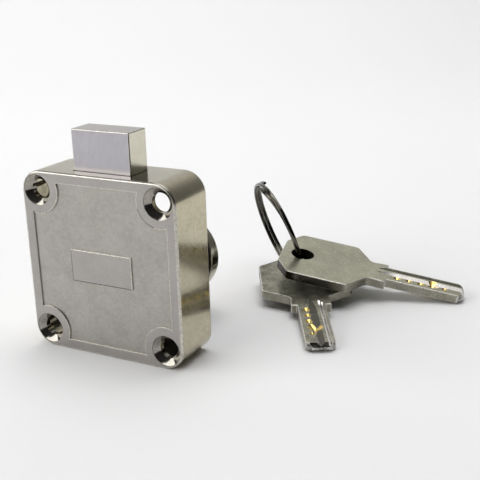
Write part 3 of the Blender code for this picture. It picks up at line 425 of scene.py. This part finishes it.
# Hard drawn spring steel of the split ring: polished by the die, so it mirrors the dark room, and
# painted dark as a painted reflection of that room
ring_wire = plated_metal(
    "nickelled_spring_wire", "#4A4841", "#615E55", 4.0, 0.4, (0.06, 0.12), 0.002
)
# Bright zinc plate on screws, springs and crank parts: cool, pale and a little milky
zinc_plate = plated_metal("bright_zinc_plate", "#9FA2A6", "#B4B7BA", 4.0, 0.3, (0.2, 0.32), 0.004)


def mesh_object(mesh, name):
    """Puts a mesh into the scene."""
    obj = bpy.data.objects.new(name, mesh)
    bpy.context.scene.collection.objects.link(obj)
    return obj


def from_bmesh(shape, name):
    """Puts a bmesh into the scene and frees it."""
    mesh = bpy.data.meshes.new(name)
    shape.to_mesh(mesh)
    shape.free()
    return mesh_object(mesh, name)


def box(low, high):
    """A block between two corners."""
    shape = bmesh.new()
    bmesh.ops.create_cube(shape, size=1)
    low, high = Vector(low), Vector(high)
    bmesh.ops.scale(shape, vec=high - low, verts=shape.verts)
    bmesh.ops.translate(shape, vec=(low + high) / 2, verts=shape.verts)
    return from_bmesh(shape, "box")


def extruded(outline, low, high, matrix, name="plate"):
    """A flat outline as one n-gon, extruded between two heights in the matrix's frame."""
    shape = bmesh.new()
    bottom = [shape.verts.new((x, y, low)) for x, y in outline]
    face = shape.faces.new(bottom)
    moved = bmesh.ops.extrude_face_region(shape, geom=[face])["geom"]
    top = [item for item in moved if isinstance(item, bmesh.types.BMVert)]
    bmesh.ops.translate(shape, vec=(0, 0, high - low), verts=top)
    bmesh.ops.recalc_face_normals(shape, faces=shape.faces)
    bmesh.ops.transform(shape, matrix=matrix, verts=shape.verts)
    return from_bmesh(shape, name)


def wall_plate(outline, back, front, name="plate"):
    """An outline in the lock's XZ plane, extruded along Y."""
    return extruded(outline, -front, -back, UPRIGHT, name)


def lathe(profile, matrix, steps, name="turned"):
    """A closed profile of (radius, height) spun about the matrix's Z axis."""
    shape = bmesh.new()
    rings = []
    for radius, height in profile:
        if radius == 0:
            rings.append([shape.verts.new((0, 0, height))] * steps)
            continue
        angles = [math.tau * step / steps for step in range(steps)]
        circle = [(radius * math.cos(a), radius * math.sin(a), height) for a in angles]
        rings.append([shape.verts.new(point) for point in circle])
    pairs = list(zip(rings, rings[1:]))
    if profile[0][0] and profile[-1][0]:
        pairs.append((rings[-1], rings[0]))
    for upper, lower in pairs:
        for step in range(steps):
            after = (step + 1) % steps
            corners = [upper[step], lower[step], lower[after], upper[after]]
            kept = list(dict.fromkeys(corners))
            if len(kept) > 2:
                shape.faces.new(kept)
    bmesh.ops.recalc_face_normals(shape, faces=shape.faces)
    bmesh.ops.transform(shape, matrix=matrix, verts=shape.verts)
    return from_bmesh(shape, name)


def turned_cutter(profile, matrix, material, steps):
    """A turned cutter that leaves its finish on the cut."""
    cutter = lathe(profile, matrix, steps)
    cutter.data.materials.append(material)
    return cutter


def lofted(sections, material):
    """A closed solid through rings of as many points each, capped at both ends."""
    shape = bmesh.new()
    rings = [[shape.verts.new(point) for point in ring] for ring in sections]
    for near, far in zip(rings, rings[1:]):
        for index in range(len(near)):
            after = (index + 1) % len(near)
            shape.faces.new([near[index], near[after], far[after], far[index]])
    shape.faces.new(rings[0])
    shape.faces.new(rings[-1])
    bmesh.ops.recalc_face_normals(shape, faces=shape.faces)
    solid = from_bmesh(shape, "loft")
    solid.data.materials.append(material)
    return solid


def rounded(corners, radii, steps=10):
    """A closed outline with each corner replaced by an arc of its radius."""
    points = []
    for index, (corner, radius) in enumerate(zip(corners, radii)):
        here = Vector(corner)
        if not radius:
            points.append(tuple(here))
            continue
        back = (Vector(corners[index - 1]) - here).normalized()
        ahead = (Vector(corners[(index + 1) % len(corners)]) - here).normalized()
        half = back.angle(ahead) / 2
        centre = here + (back + ahead).normalized() * (radius / math.sin(half))
        first = here + back * (radius / math.tan(half)) - centre
        last = here + ahead * (radius / math.tan(half)) - centre
        turn = first.angle_signed(last)
        for step in range(steps + 1):
            points.append(tuple(centre + Matrix.Rotation(-turn * step / steps, 2) @ first))
    return points


def rectangle(left, right, bottom, top, radius, steps=10):
    """A rectangle's outline, with round corners if it has a radius."""
    corners = [(left, bottom), (right, bottom), (right, top), (left, top)]
    return rounded(corners, [radius] * 4, steps) if radius else corners


def y_axis(x, z):
    """The frame of what is turned about a line along +Y."""
    return Matrix.Translation((x, 0, z)) @ ALONG_Y


def settle(obj):
    """Applies the modifiers to the mesh."""
    bpy.context.view_layer.update()
    graph = bpy.context.evaluated_depsgraph_get()
    mesh = bpy.data.meshes.new_from_object(obj.evaluated_get(graph), depsgraph=graph)
    obj.modifiers.clear()
    obj.data = mesh


def carve(obj, cutter, operation="DIFFERENCE"):
    """Applies a Boolean at once and removes its cutter, whose own material shows on the cut."""
    modifier = obj.modifiers.new("carve", "BOOLEAN")
    modifier.operation = operation
    modifier.solver = "EXACT"
    modifier.material_mode = "TRANSFER"
    modifier.object = cutter
    settle(obj)
    bpy.data.objects.remove(cutter, do_unlink=True)


def ease(obj, width, segments, angle=35, edge=None):
    """Rounds the edges that are sharper than the angle, and gives them the edge's finish."""
    bevel = obj.modifiers.new("ease", "BEVEL")
    bevel.width = width
    bevel.segments = segments
    bevel.limit_method = "ANGLE"
    bevel.angle_limit = math.radians(angle)
    if edge:
        if edge.name not in obj.data.materials:
            obj.data.materials.append(edge)
        bevel.material = obj.data.materials.find(edge.name)
    settle(obj)


def refinish(obj, old, new, rule):
    """Gives the faces that have the old finish and keep the rule a new finish."""
    finishes = obj.data.materials
    finishes.append(new)
    for face in obj.data.polygons:
        if finishes[face.material_index] == old and rule(face):
            face.material_index = len(finishes) - 1


def weld(obj):
    """Dissolves the slivers of no width that the Booleans leave."""
    shape = bmesh.new()
    shape.from_mesh(obj.data)
    bmesh.ops.remove_doubles(shape, verts=shape.verts, dist=SLIVER)
    bmesh.ops.dissolve_degenerate(shape, edges=shape.edges, dist=SLIVER)
    shape.to_mesh(obj.data)
    shape.free()


def smooth(obj, angle=34):
    """Shades edges smooth up to the angle in degrees, and keeps flat faces flat."""
    weld(obj)
    obj.data.shade_smooth()
    obj.data.set_sharp_from_angle(angle=math.radians(angle))
    weighted = obj.modifiers.new("flat_faces_stay_flat", "WEIGHTED_NORMAL")
    weighted.keep_sharp = True
    weighted.weight = 100
    settle(obj)


def cast_case():
    """The die-cast case: rounded outside, hollow inside, with a sunk panel round a bare pad."""
    half, back, rim = CASE_WIDTH / 2, -CASE_DEPTH / 2, CASE_DEPTH / 2
    outside = rectangle(-half, half, 0, CASE_HEIGHT, CASE_CORNER, steps=16)
    case = wall_plate(outside, back, rim, "case_shell")
    case.data.materials.append(cast_nickel)
    # The eased outer edges carry the painted highlight
    ease(case, CASE_EDGE, segments=4, edge=painted_highlight_edge)
    inside, ceiling = half - SIDE_WALL, CASE_HEIGHT - SIDE_WALL
    hollow = rectangle(-inside, inside, SIDE_WALL, ceiling, CASE_CORNER - SIDE_WALL)
    carve(case, wall_plate(hollow, back + BACK_WALL, rim + PAST))
    ease(case, FINE_EDGE, segments=2, angle=40)
    mouth = BOLT_WIDTH / 2 + SLIDING_GAP
    low = (-mouth, BOLT_BACK - BACK_GAP, CASE_HEIGHT - MOUTH_DEPTH)
    carve(case, box(low, (mouth, BOLT_FRONT + SLIDING_GAP, CASE_HEIGHT + PAST)))
    carve(case, sunk_panel())
    carve(case, bare_pad(), "UNION")
    side, end = CASE_WIDTH / 2 - SCREW_FROM_SIDE, CASE_HEIGHT - SCREW_FROM_END
    for x in (-side, side):
        for z in (SCREW_FROM_END, end):
            carve(case, screw_hole(x, z))
    for x in (-BOSS_SIDE, BOSS_SIDE):
        for z in BOSS_HEIGHTS:
            carve(case, flange_boss(x, z), "UNION")
    # The sides take the painted warm light
    refinish(case, cast_nickel, lit_side_nickel, lambda face: abs(face.normal.y) < 0.7)
    # Arrises facing away from the light are painted dark as painted shade
    refinish(case, painted_highlight_edge, painted_shade_edge, gets_painted_shade)
    # The panel's left arris keeps the face's finish, without the painted highlight
    refinish(case, painted_highlight_edge, cast_nickel, at_the_left_border)
    # The left half of each countersink's mouth chamfer is painted dark as painted shade
    refinish(case, countersink_nickel, painted_shade_edge, left_of_a_countersink)
    # Painted shade darkens the case's upward faces
    paint_top_shade(case, 0.45)
    smooth(case)
    return case


def screw_hole(x, z):
    """The cutter of a fixing screw's hole, countersunk and with a chamfer at its mouth."""
    back = -CASE_DEPTH / 2
    profile = [
        (0, back + BACK_WALL + PAST),
        (SCREW_HOLE_RADIUS, back + BACK_WALL + PAST),
        (SCREW_HOLE_RADIUS, back + (COUNTERSINK_RADIUS - SCREW_HOLE_RADIUS)),
        (COUNTERSINK_RADIUS, back + RIM_CHAMFER / 2),
        (COUNTERSINK_RADIUS + 3 * RIM_CHAMFER, back - RIM_CHAMFER),
        (0, back - RIM_CHAMFER),
    ]
    return turned_cutter(profile, y_axis(x, z), countersink_nickel, steps=96)


def flange_boss(x, z):
    """A round boss, rooted a little way into the back wall."""
    root = -CASE_DEPTH / 2 + BACK_WALL - BOSS_ROOT
    profile = [(0, BOSS_FRONT), (BOSS_RADIUS, BOSS_FRONT), (BOSS_RADIUS, root), (0, root)]
    return lathe(profile, y_axis(x, z), steps=32)


def gets_painted_shade(face):
    """The arrises painted dark as painted shade: the pad's left and lower ones, and the one round
    the upper right screw's land.
    """
    middle = CASE_HEIGHT / 2
    beside = abs(face.center.x) < PAD_WIDTH and abs(face.center.z - middle) < PAD_HEIGHT
    at_pad = beside and min(face.normal.x, face.normal.z) < -0.2
    return at_pad or max(face.normal.x, face.normal.z) < -0.1 and face.center.z > middle


def at_the_left_border(face):
    """The panel's left arris, which is left without the painted highlight."""
    return abs(face.center.x + CASE_WIDTH / 2 - RECESS_BORDER) < DRAFT + ARRIS_WIDTH


def left_of_a_countersink(face):
    """The left half of the chamfer at a countersink's mouth, painted dark as painted shade."""
    return face.normal.y < -0.85 and face.normal.x > 0


def paint_top_shade(piece, share):
    """Marks painted shade on what faces up, stronger on what faces up more squarely."""
    mark = piece.data.attributes.new("painted_shade", "FLOAT", "CORNER")
    for face in piece.data.polygons:
        for corner in face.loop_indices:
            mark.data[corner].value = share * max(0, face.normal.z)


def panel_outline(inset):
    """The sunk panel's outline: a rectangle less a round land at each screw hole."""
    side, low = CASE_WIDTH / 2 - RECESS_BORDER - inset, RECESS_BORDER + inset
    x, z = CASE_WIDTH / 2 - SCREW_FROM_SIDE, SCREW_FROM_END
    radius = COUNTERSINK_RADIUS + CORNER_LAND + inset
    first = math.acos((side - x) / radius)
    last = math.pi - math.asin((low - z) / radius)
    angles = [first + (last - first) * step / LAND_STEPS for step in range(LAND_STEPS + 1)]
    middle = CASE_HEIGHT / 2
    quarter = [(x + radius * math.cos(a), z + radius * math.sin(a) - middle) for a in angles]
    half = quarter + [(-across, up) for across, up in reversed(quarter)]
    whole = half + [(-across, -up) for across, up in half]
    return [(across, up + middle) for across, up in whole]


def drafted(outlines, material, floor_material):
    """A block between outlines at given places along Y, with a finish for sides and for ends."""
    sections = [[(x, y, z) for x, z in outline] for y, outline in outlines]
    block = lofted(sections, material)
    refinish(block, material, floor_material, lambda face: abs(face.normal.y) > 0.97)
    return block


def sunk_panel():
    """The cutter of the sunk panel, with drafted sides as a casting has, under an arris with a
    painted highlight.
    """
    back = -CASE_DEPTH / 2
    above = (back - ARRIS_DEPTH, panel_outline(-2 * ARRIS_WIDTH))
    arris = (back + ARRIS_DEPTH, panel_outline(0))
    floor = (back + RECESS_DEPTH, panel_outline(DRAFT))
    return drafted([above, arris, floor], painted_highlight_edge, panel_nickel)


def bare_pad():
    """The bare pad, flush with the border."""
    back, middle = -CASE_DEPTH / 2, CASE_HEIGHT / 2

    def outline(grown):
        wide, high = PAD_WIDTH / 2 + grown, PAD_HEIGHT / 2 + grown
        return rectangle(-wide, wide, middle - high, middle + high, 0)

    top, arris = (back, outline(-ARRIS_WIDTH)), (back + ARRIS_DEPTH, outline(0))
    foot = (back + 2 * RECESS_DEPTH, outline(2 * DRAFT))
    # The pad's sides carry the painted highlight
    return drafted([top, arris, foot], painted_highlight_edge, cast_nickel)


def thrown_bolt():
    """The square bolt head with eased edges, on its thinner slotted tail."""
    half = BOLT_WIDTH / 2
    corners = [
        (-TAIL_HALF, TAIL_BOTTOM),
        (TAIL_HALF, TAIL_BOTTOM),
        (TAIL_HALF, TAIL_SHOULDER),
        (half, TAIL_SHOULDER),
        (half, BOLT_TOP),
        (-half, BOLT_TOP),
        (-half, TAIL_SHOULDER),
        (-TAIL_HALF, TAIL_SHOULDER),
    ]
    outline = rounded(corners, [TAIL_CORNER] * 2 + [0] * 6)
    bolt = wall_plate(outline, BOLT_BACK, BOLT_FRONT, "bolt_bar")
    # The bolt's sides take the painted warm light
    bolt.data.materials.append(lit_bolt_side_nickel)
    low = (-TAIL_HALF - PAST, TAIL_FRONT, TAIL_BOTTOM - PAST)
    carve(bolt, box(low, (TAIL_HALF + PAST, BOLT_FRONT + PAST, HEAD_BOTTOM)))
    # The bolt's eased edges carry the painted highlight
    ease(bolt, BOLT_EDGE, segments=4, edge=painted_highlight_edge)
    slot = rectangle(-SLOT_HALF, SLOT_HALF, SLOT_BOTTOM, SLOT_TOP, SLOT_CORNER)
    carve(bolt, wall_plate(slot, BOLT_BACK - PAST, TAIL_FRONT + PAST))
    refinish(bolt, lit_bolt_side_nickel, bolt_nickel, lambda face: face.normal.y < -0.7)
    # The bolt's right arris is painted dark as painted shade
    refinish(bolt, painted_highlight_edge, painted_shade_edge, at_the_right_arris)
    refinish(bolt, lit_bolt_side_nickel, cast_nickel, lambda face: face.normal.z > 0.9)
    smooth(bolt, angle=40)
    return bolt


def at_the_right_arris(face):
    """The arris between the bolt's ground face and its right side."""
    return face.normal.x > 0.3 and face.normal.y < -0.3


def trim_ring():
    """The polished cap over the barrel's outer end, rolled at both rims."""
    floor = RING_FRONT - RING_LIP_DEPTH
    profile = [
        (RING_LIP, floor),
        (RING_LIP, RING_FRONT - RING_LIP_ARRIS),
        (RING_LIP + RING_LIP_ARRIS, RING_FRONT),
    ]
    for step in range(RING_ROLL_STEPS + 1):
        angle = math.pi / 2 * (1 - step / RING_ROLL_STEPS)
        radius = RING_RADIUS - RING_ROLL + RING_ROLL * math.cos(angle)
        profile.append((radius, RING_FRONT - RING_ROLL + RING_ROLL * math.sin(angle)))
    profile += [
        (RING_RADIUS, RING_BACK + RING_BACK_ARRIS),
        (RING_RADIUS - RING_BACK_ARRIS, RING_BACK),
        (RING_INSIDE, RING_BACK),
        (RING_INSIDE, floor),
    ]
    ring = lathe(profile, y_axis(0, BARREL_HEIGHT), steps=128, name="trim_ring")
    ring.data.materials.append(ring_nickel)
    smooth(ring, angle=50)
    return ring


def key_frame(place, heading, roll):
    """A frame at the key's hole: X falls towards the tip, and the far side rises by the roll."""
    heading, roll = math.radians(heading), math.radians(roll)
    tilt = math.asin((place[2] - KEY_BLADE_HALF * math.sin(roll)) / TIP_REACH)
    east, north = math.cos(heading) * math.cos(tilt), math.sin(heading) * math.cos(tilt)
    ahead = Vector((east, north, -math.sin(tilt)))
    level = Vector((-math.sin(heading), math.cos(heading), 0))
    across = level * math.cos(roll) + ahead.cross(level) * math.sin(roll)
    frame = Matrix((ahead, across, ahead.cross(across))).transposed().to_4x4()
    frame.translation = place
    return frame


def upper_key():
    """The key on top, with its tip on the floor."""
    return dimple_key("upper_key_blank", key_frame(*UPPER_KEY), key_nickel, UPPER_HOLE_FOOT)


def lower_key():
    """The key beneath, flat on the floor, painted darker as painted shade, most where the upper
    one lies on it.
    """
    frame = key_frame(*LOWER_KEY)
    # The lower key's plate is painted darker as painted shade
    return dimple_key("lower_key_blank", frame, painted_shade_key_nickel, LOWER_HOLE_FOOT, with_painted_shade=True)


def dimple_key(name, frame, plate, hole_foot, with_painted_shade=False):
    """A stamped blank with milled grooves, drilled dimples and a cropped tip on both faces."""
    key = key_blank(name, plate)
    punch_hole(key, plate, hole_foot)
    for flip in (UNTURNED, TURNED_OVER):
        carve(key, vee_cutter(flip))
        for flute in FLUTES:
            carve(key, flute_cutter(*flute, flip))
        for index, (radius, row) in enumerate(zip(DIMPLE_RADII, DIMPLE_ROWS)):
            along = KEY_SHOULDER + FIRST_PIN + PIN_PITCH * index
            carve(key, dimple_drill(radius, flip @ Matrix.Translation((along, -row, 0))))
        carve(key, tip_cropper(flip))
    if with_painted_shade:
        # Painted shade round the hole and on one wall of the V groove
        paint_key_shade(key)
    refinish(key, sheared_nickel, cropped_tip, lambda face: face.center.x > KEY_TIP - KEY_TAPER)
    # Painted dark reflection on the sheared edge by the bow's back
    painted_shade(key)
    key.data.transform(frame)
    smooth(key, angle=32)
    return key


def key_blank(name, plate):
    """The stamped blank: an octagonal bow, a neck, a shoulder and a flat blade."""
    half = [
        (-KEY_BOW_BACK, KEY_BACK_HALF),
        (-KEY_BOW_BACK + KEY_BOW_CHAMFER, KEY_BOW_HALF),
        (KEY_BOW_FRONT, KEY_BOW_HALF),
        (KEY_NECK, KEY_NECK_HALF),
        (KEY_SHOULDER - KEY_TAPER, KEY_SHOULDER_HALF),
        (KEY_SHOULDER, KEY_SHOULDER_HALF),
        (KEY_SHOULDER, KEY_BLADE_HALF),
        (KEY_TIP - KEY_TAPER, KEY_BLADE_HALF),
        (KEY_TIP, KEY_BLADE_HALF - KEY_TAPER),
    ]
    radii = [KEY_TAPER] * 4 + [0] * 5
    corners = half + [(x, -y) for x, y in reversed(half)]
    outline = rounded(corners, radii + radii[::-1], steps=6)
    key = extruded(outline, 0, KEY_THICKNESS, UNTURNED, name)
    key.data.materials.append(plate)
    # The key's eased edges carry the painted highlight
    ease(key, KEY_EDGE, segments=3, edge=painted_highlight_edge)
    refinish(key, plate, sheared_nickel, lambda face: abs(face.normal.z) < 0.5)
    return key


def punch_hole(key, plate, foot):
    """Punches the hole, painted black inside as painted shade, with a fine plated chamfer at its
    upper rim.
    """
    bore = [
        (0, KEY_THICKNESS + KEY_PAST),
        (KEY_HOLE_RADIUS, KEY_THICKNESS + KEY_PAST),
        (KEY_HOLE_RADIUS, KEY_THICKNESS - 2 * KEY_RIM),
        (foot, -KEY_PAST),
        (0, -KEY_PAST),
    ]
    # The hole's wall is painted near black as painted shade
    carve(key, turned_cutter(bore, UNTURNED, painted_shade_wall, steps=64))
    funnel = [
        (0, KEY_THICKNESS + KEY_PAST),
        (KEY_HOLE_RADIUS + KEY_RIM + KEY_PAST, KEY_THICKNESS + KEY_PAST),
        (KEY_HOLE_RADIUS - KEY_PAST, KEY_THICKNESS - KEY_RIM - KEY_PAST),
        (0, KEY_THICKNESS - KEY_RIM - KEY_PAST),
    ]
    carve(key, turned_cutter(funnel, UNTURNED, plate, steps=64))


def vee_cutter(flip):
    """The V groove down the middle, which runs out to a point before the neck."""
    sections = []
    for share, along in VEE_RUN:
        depth, half = VEE_DEPTH * share, VEE_HALF * share
        wide = half * (depth + KEY_PAST) / depth
        place, top = KEY_SHOULDER + along, KEY_THICKNESS + KEY_PAST
        ring = [(0, KEY_THICKNESS - depth), (wide, top), (-wide, top)]
        sections.append([flip @ Vector((place, y, z)) for y, z in ring])
    return lofted(sections, milled_nickel)


def flute_cutter(low, high, depth, start, flip):
    """A straight flute by a disc cutter, so its floor sweeps up at the near end."""
    sections = []
    for share, along in FLUTE_RUN:
        floor, top = KEY_THICKNESS - depth * share, KEY_THICKNESS + KEY_PAST
        place = KEY_SHOULDER + start + along
        ring = [(low, floor), (high, floor), (high, top), (low, top)]
        sections.append([flip @ Vector((place, y, z)) for y, z in ring])
    return lofted(sections, milled_nickel)


def dimple_drill(radius, place):
    """A blunt drill that leaves a cone with a small flat at its foot."""
    depth = radius * DIMPLE_SLOPE_SHARE
    cone = [
        (0, KEY_THICKNESS + depth),
        (2 * radius - DIMPLE_FLAT, KEY_THICKNESS + depth),
        (DIMPLE_FLAT, KEY_THICKNESS - depth),
        (0, KEY_THICKNESS - depth),
    ]
    return turned_cutter(cone, place, drilled_brass, steps=40)


def tip_cropper(flip):
    """A wedge that crops the tip at 45 degrees."""
    bite = KEY_THICKNESS / 2 - KEY_EDGE
    wedge = [
        (KEY_TIP - bite, KEY_THICKNESS + PAST),
        (KEY_TIP - bite - PAST, KEY_THICKNESS + PAST),
        (KEY_TIP - bite, KEY_THICKNESS),
        (KEY_TIP + PAST, KEY_THICKNESS - bite - PAST),
        (KEY_TIP + PAST, KEY_THICKNESS + PAST),
    ]
    cutter = extruded(wedge, -CROP_HALF, CROP_HALF, flip @ UPRIGHT)
    cutter.data.materials.append(cropped_tip)
    return cutter


def paint_key_shade(key):
    """Puts painted shade on the land round the hole, under the other key, and on one wall of the V
    groove.
    """
    land = [
        (KEY_HOLE_RADIUS, KEY_THICKNESS + KEY_PAST),
        (SHADED_LAND_RADIUS, KEY_THICKNESS + KEY_PAST),
        (SHADED_LAND_RADIUS, KEY_THICKNESS - SHADED_LAND_DEPTH),
        (KEY_HOLE_RADIUS, KEY_THICKNESS - SHADED_LAND_DEPTH),
    ]
    carve(key, turned_cutter(land, UNTURNED, painted_shade_land, steps=64))
    refinish(key, milled_nickel, painted_shade_land, vee_wall)


def vee_wall(face):
    """The far wall of the V groove."""
    return face.normal.y < -0.3 and abs(face.center.y) < VEE_HALF


def painted_shade(key):
    """Marks painted shade on the sheared edge beside the bow's back, a dark reflection painted
    brown, most at its foot.
    """
    mark = key.data.attributes.new("painted_shade", "FLOAT", "CORNER")
    for face in key.data.polygons:
        sheared = abs(face.normal.z) < 0.5
        shaded_side = sheared and face.center.y < 0 and face.center.x < KEY_BOW_FRONT
        for corner in face.loop_indices:
            place = key.data.vertices[key.data.loops[corner].vertex_index].co
            value = 0
            if shaded_side:
                along = (place.x + KEY_BOW_BACK) / (KEY_BOW_FRONT + KEY_BOW_BACK)
                value = SHADE_AT_BACK - SHADE_LOST_ALONG * along
                value -= SHADE_LOST_UP * place.z / KEY_THICKNESS
            mark.data[corner].value = max(0, value)


def split_ring():
    """Two close turns of hard wire, with one end standing a little proud at the top."""
    heading, lean = math.radians(LOOP_HEADING), math.radians(LOOP_LEAN)
    level = Vector((math.cos(heading), math.sin(heading), 0))
    aside = Vector((math.sin(heading), -math.cos(heading), 0))
    rise = Vector((0, 0, math.cos(lean))) + aside * math.sin(lean)
    normal = level.cross(rise)
    steps = 2 * TURN_STEPS
    sections = []
    for step in range(steps + 1):
        turns = WIRE_CUT_BACK + (2 - 2 * WIRE_CUT_BACK) * step / steps
        angle = math.pi / 2 + math.tau * turns
        out = level * math.cos(angle) + rise * math.sin(angle)
        # The turns lie side by side, but ride one over the other where the keys hang
        over = math.pi / 2 * max(0, -math.cos(angle)) ** CROSSING_SPREAD
        apart = normal * WIRE_PITCH * math.cos(over) + out * WIRE_STEP_OUT * math.sin(over)
        middle = Vector(LOOP_CENTRE) + out * LOOP_RADIUS + apart * (turns - 1)
        from_end = min(step, steps - step)
        girth = WIRE_END_GIRTH[from_end] if from_end < len(WIRE_END_GIRTH) else 1.0
        section = []
        for side in range(WIRE_SIDES):
            a = math.tau * side / WIRE_SIDES
            bulge, spread = (
                math.copysign(abs(v) ** WIRE_SQUARENESS, v) for v in (math.cos(a), math.sin(a))
            )
            offset = out * bulge * WIRE_RADIUS + normal * spread * WIRE_HALF_WIDTH
            section.append(middle + offset * girth)
        sections.append(section)
    ring = lofted(sections, ring_wire)
    # The wire's cut ends are painted near black as painted shade
    refinish(ring, ring_wire, painted_shade_wall, lambda face: len(face.vertices) == WIRE_SIDES)
    ring.name = "split_ring"
    smooth(ring, angle=60)
    return ring


def driver_spring(index, node):
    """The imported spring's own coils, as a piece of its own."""
    return mesh_object(node.data.copy(), f"driver_spring_{index}")


def finish_of(node):
    """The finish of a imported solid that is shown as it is."""
    if node == "cylinder_housing":
        return black_zinc
    if node in ("plug", "chamber_strip") or node.startswith(("key_pin_", "driver_pin_")):
        return turned_brass
    return zinc_plate


def room_glow():
    """The room's own light, brightest towards the window."""
    world = bpy.data.worlds.new("studio")
    bpy.context.scene.world = world
    world.use_nodes = True
    tree = world.node_tree
    facing = add(tree, "ShaderNodeTexCoord").outputs["Generated"]
    dot = {"operation": "DOT_PRODUCT", 1: WINDOW}
    towards = add(tree, "ShaderNodeVectorMath", dot, {0: facing}).outputs["Value"]
    span = {
        "interpolation_type": "SMOOTHSTEP",
        "From Min": ROOM_SPAN[0],
        "From Max": ROOM_SPAN[1],
        "To Min": ROOM_DARK,
        "To Max": ROOM_BRIGHT,
    }
    level = add(tree, "ShaderNodeMapRange", span, {"Value": towards}).outputs["Result"]
    tree.links.new(level, tree.nodes["Background"].inputs["Strength"])


def paper_sweep():
    """Matt white paper: an even pale floor without a gloss, which rises into the background."""
    paper = bpy.data.materials.new("matt_paper_sweep")
    paper.use_nodes = True
    shader = paper.node_tree.nodes["Principled BSDF"]
    shader.inputs["Base Color"].default_value = linear("#F3F3F3")
    shader.inputs["Roughness"].default_value = 0.9
    points = [(SWEEP_NEAR, 0.0)]
    for step in range(SWEEP_STEPS + 1):
        angle = math.pi / 2 * step / SWEEP_STEPS
        along = SWEEP_BEND + SWEEP_RADIUS * math.sin(angle)
        points.append((along, SWEEP_RADIUS - SWEEP_RADIUS * math.cos(angle)))
    points.append((SWEEP_BEND + SWEEP_RADIUS, SWEEP_TOP))
    turn = Matrix.Rotation(math.radians(CAMERA_AZIMUTH), 4, "Z")
    sides = (-SWEEP_HALF, SWEEP_HALF)
    shape = bmesh.new()
    rows = [
        [shape.verts.new(turn @ Vector((side, along, height))) for side in sides]
        for along, height in points
    ]
    for near, far in zip(rows, rows[1:]):
        shape.faces.new([near[0], near[1], far[1], far[0]])
    sweep = from_bmesh(shape, "paper_sweep")
    sweep.data.shade_smooth()
    sweep.data.materials.append(paper)
    return sweep


def soft_light(name, place, size, power, aim):
    """A rectangular light at its place, turned towards its aim."""
    light = bpy.data.lights.new(name, "AREA")
    light.shape = "RECTANGLE"
    light.size, light.size_y = size
    light.energy = power
    lamp = bpy.data.objects.new(name, light)
    bpy.context.scene.collection.objects.link(lamp)
    lamp.location = place
    lamp.rotation_euler = (Vector(aim) - Vector(place)).to_track_quat("-Z", "Y").to_euler()


def photo_camera():
    """The camera, placed and turned to match the edges of the lock in the photograph."""
    azimuth, elevation = math.radians(CAMERA_AZIMUTH), math.radians(CAMERA_ELEVATION)
    roll = math.radians(CAMERA_ROLL)
    right = Vector((math.cos(azimuth), math.sin(azimuth), 0))
    up = Vector(
        (
            -math.sin(azimuth) * math.sin(elevation),
            math.cos(azimuth) * math.sin(elevation),
            math.cos(elevation),
        )
    )
    across = right * math.cos(roll) + up * math.sin(roll)
    above = up * math.cos(roll) - right * math.sin(roll)
    view = Matrix((across, above, across.cross(above))).transposed().to_4x4()
    view.translation = CAMERA_PLACE
    lens = bpy.data.cameras.new("photo_camera")
    lens.sensor_width = SENSOR_MM
    lens.lens = FOCAL_PIXELS / FRAME_PIXELS * SENSOR_MM
    lens.clip_start = NEAREST
    camera = bpy.data.objects.new("photo_camera", lens)
    bpy.context.scene.collection.objects.link(camera)
    camera.matrix_world = view
    bpy.context.scene.camera = camera


def main():
    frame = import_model()
    nodes = frame["nodes"]
    for name, obj in nodes.items():
        obj.data.shade_smooth()
        obj.data.set_sharp_from_angle(angle=math.radians(PACKED_CREASE))
        obj.data.materials.clear()
        obj.data.materials.append(finish_of(name))

    shown = (
        (cast_case(), "lock_case", "case", "satin_nickel"),
        (thrown_bolt(), "bolt_body", "bolt", "satin_nickel"),
        (trim_ring(), "lock_case", "front_ring", "bright_nickel"),
        (upper_key(), "upper_key_body", "upper_key", "satin_nickel"),
        (lower_key(), "lower_key_body", "lower_key", "satin_nickel"),
        (split_ring(), "ring_of_keys", "key_ring", "bright_nickel"),
    )
    for piece, body, node, slot in shown:
        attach(piece, body)
        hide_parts(node)

    for index in range(1, 6):
        node = f"pin_spring_{index}"
        spring = driver_spring(index, nodes[node])
        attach(spring, "lock_case")
        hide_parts(node)
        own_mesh(spring)

    room_glow()
    sweep = paper_sweep()
    for light in SOFT_LIGHTS:
        soft_light(*light)
    photo_camera()
    bpy.context.scene.view_settings.view_transform = "Standard"


main()
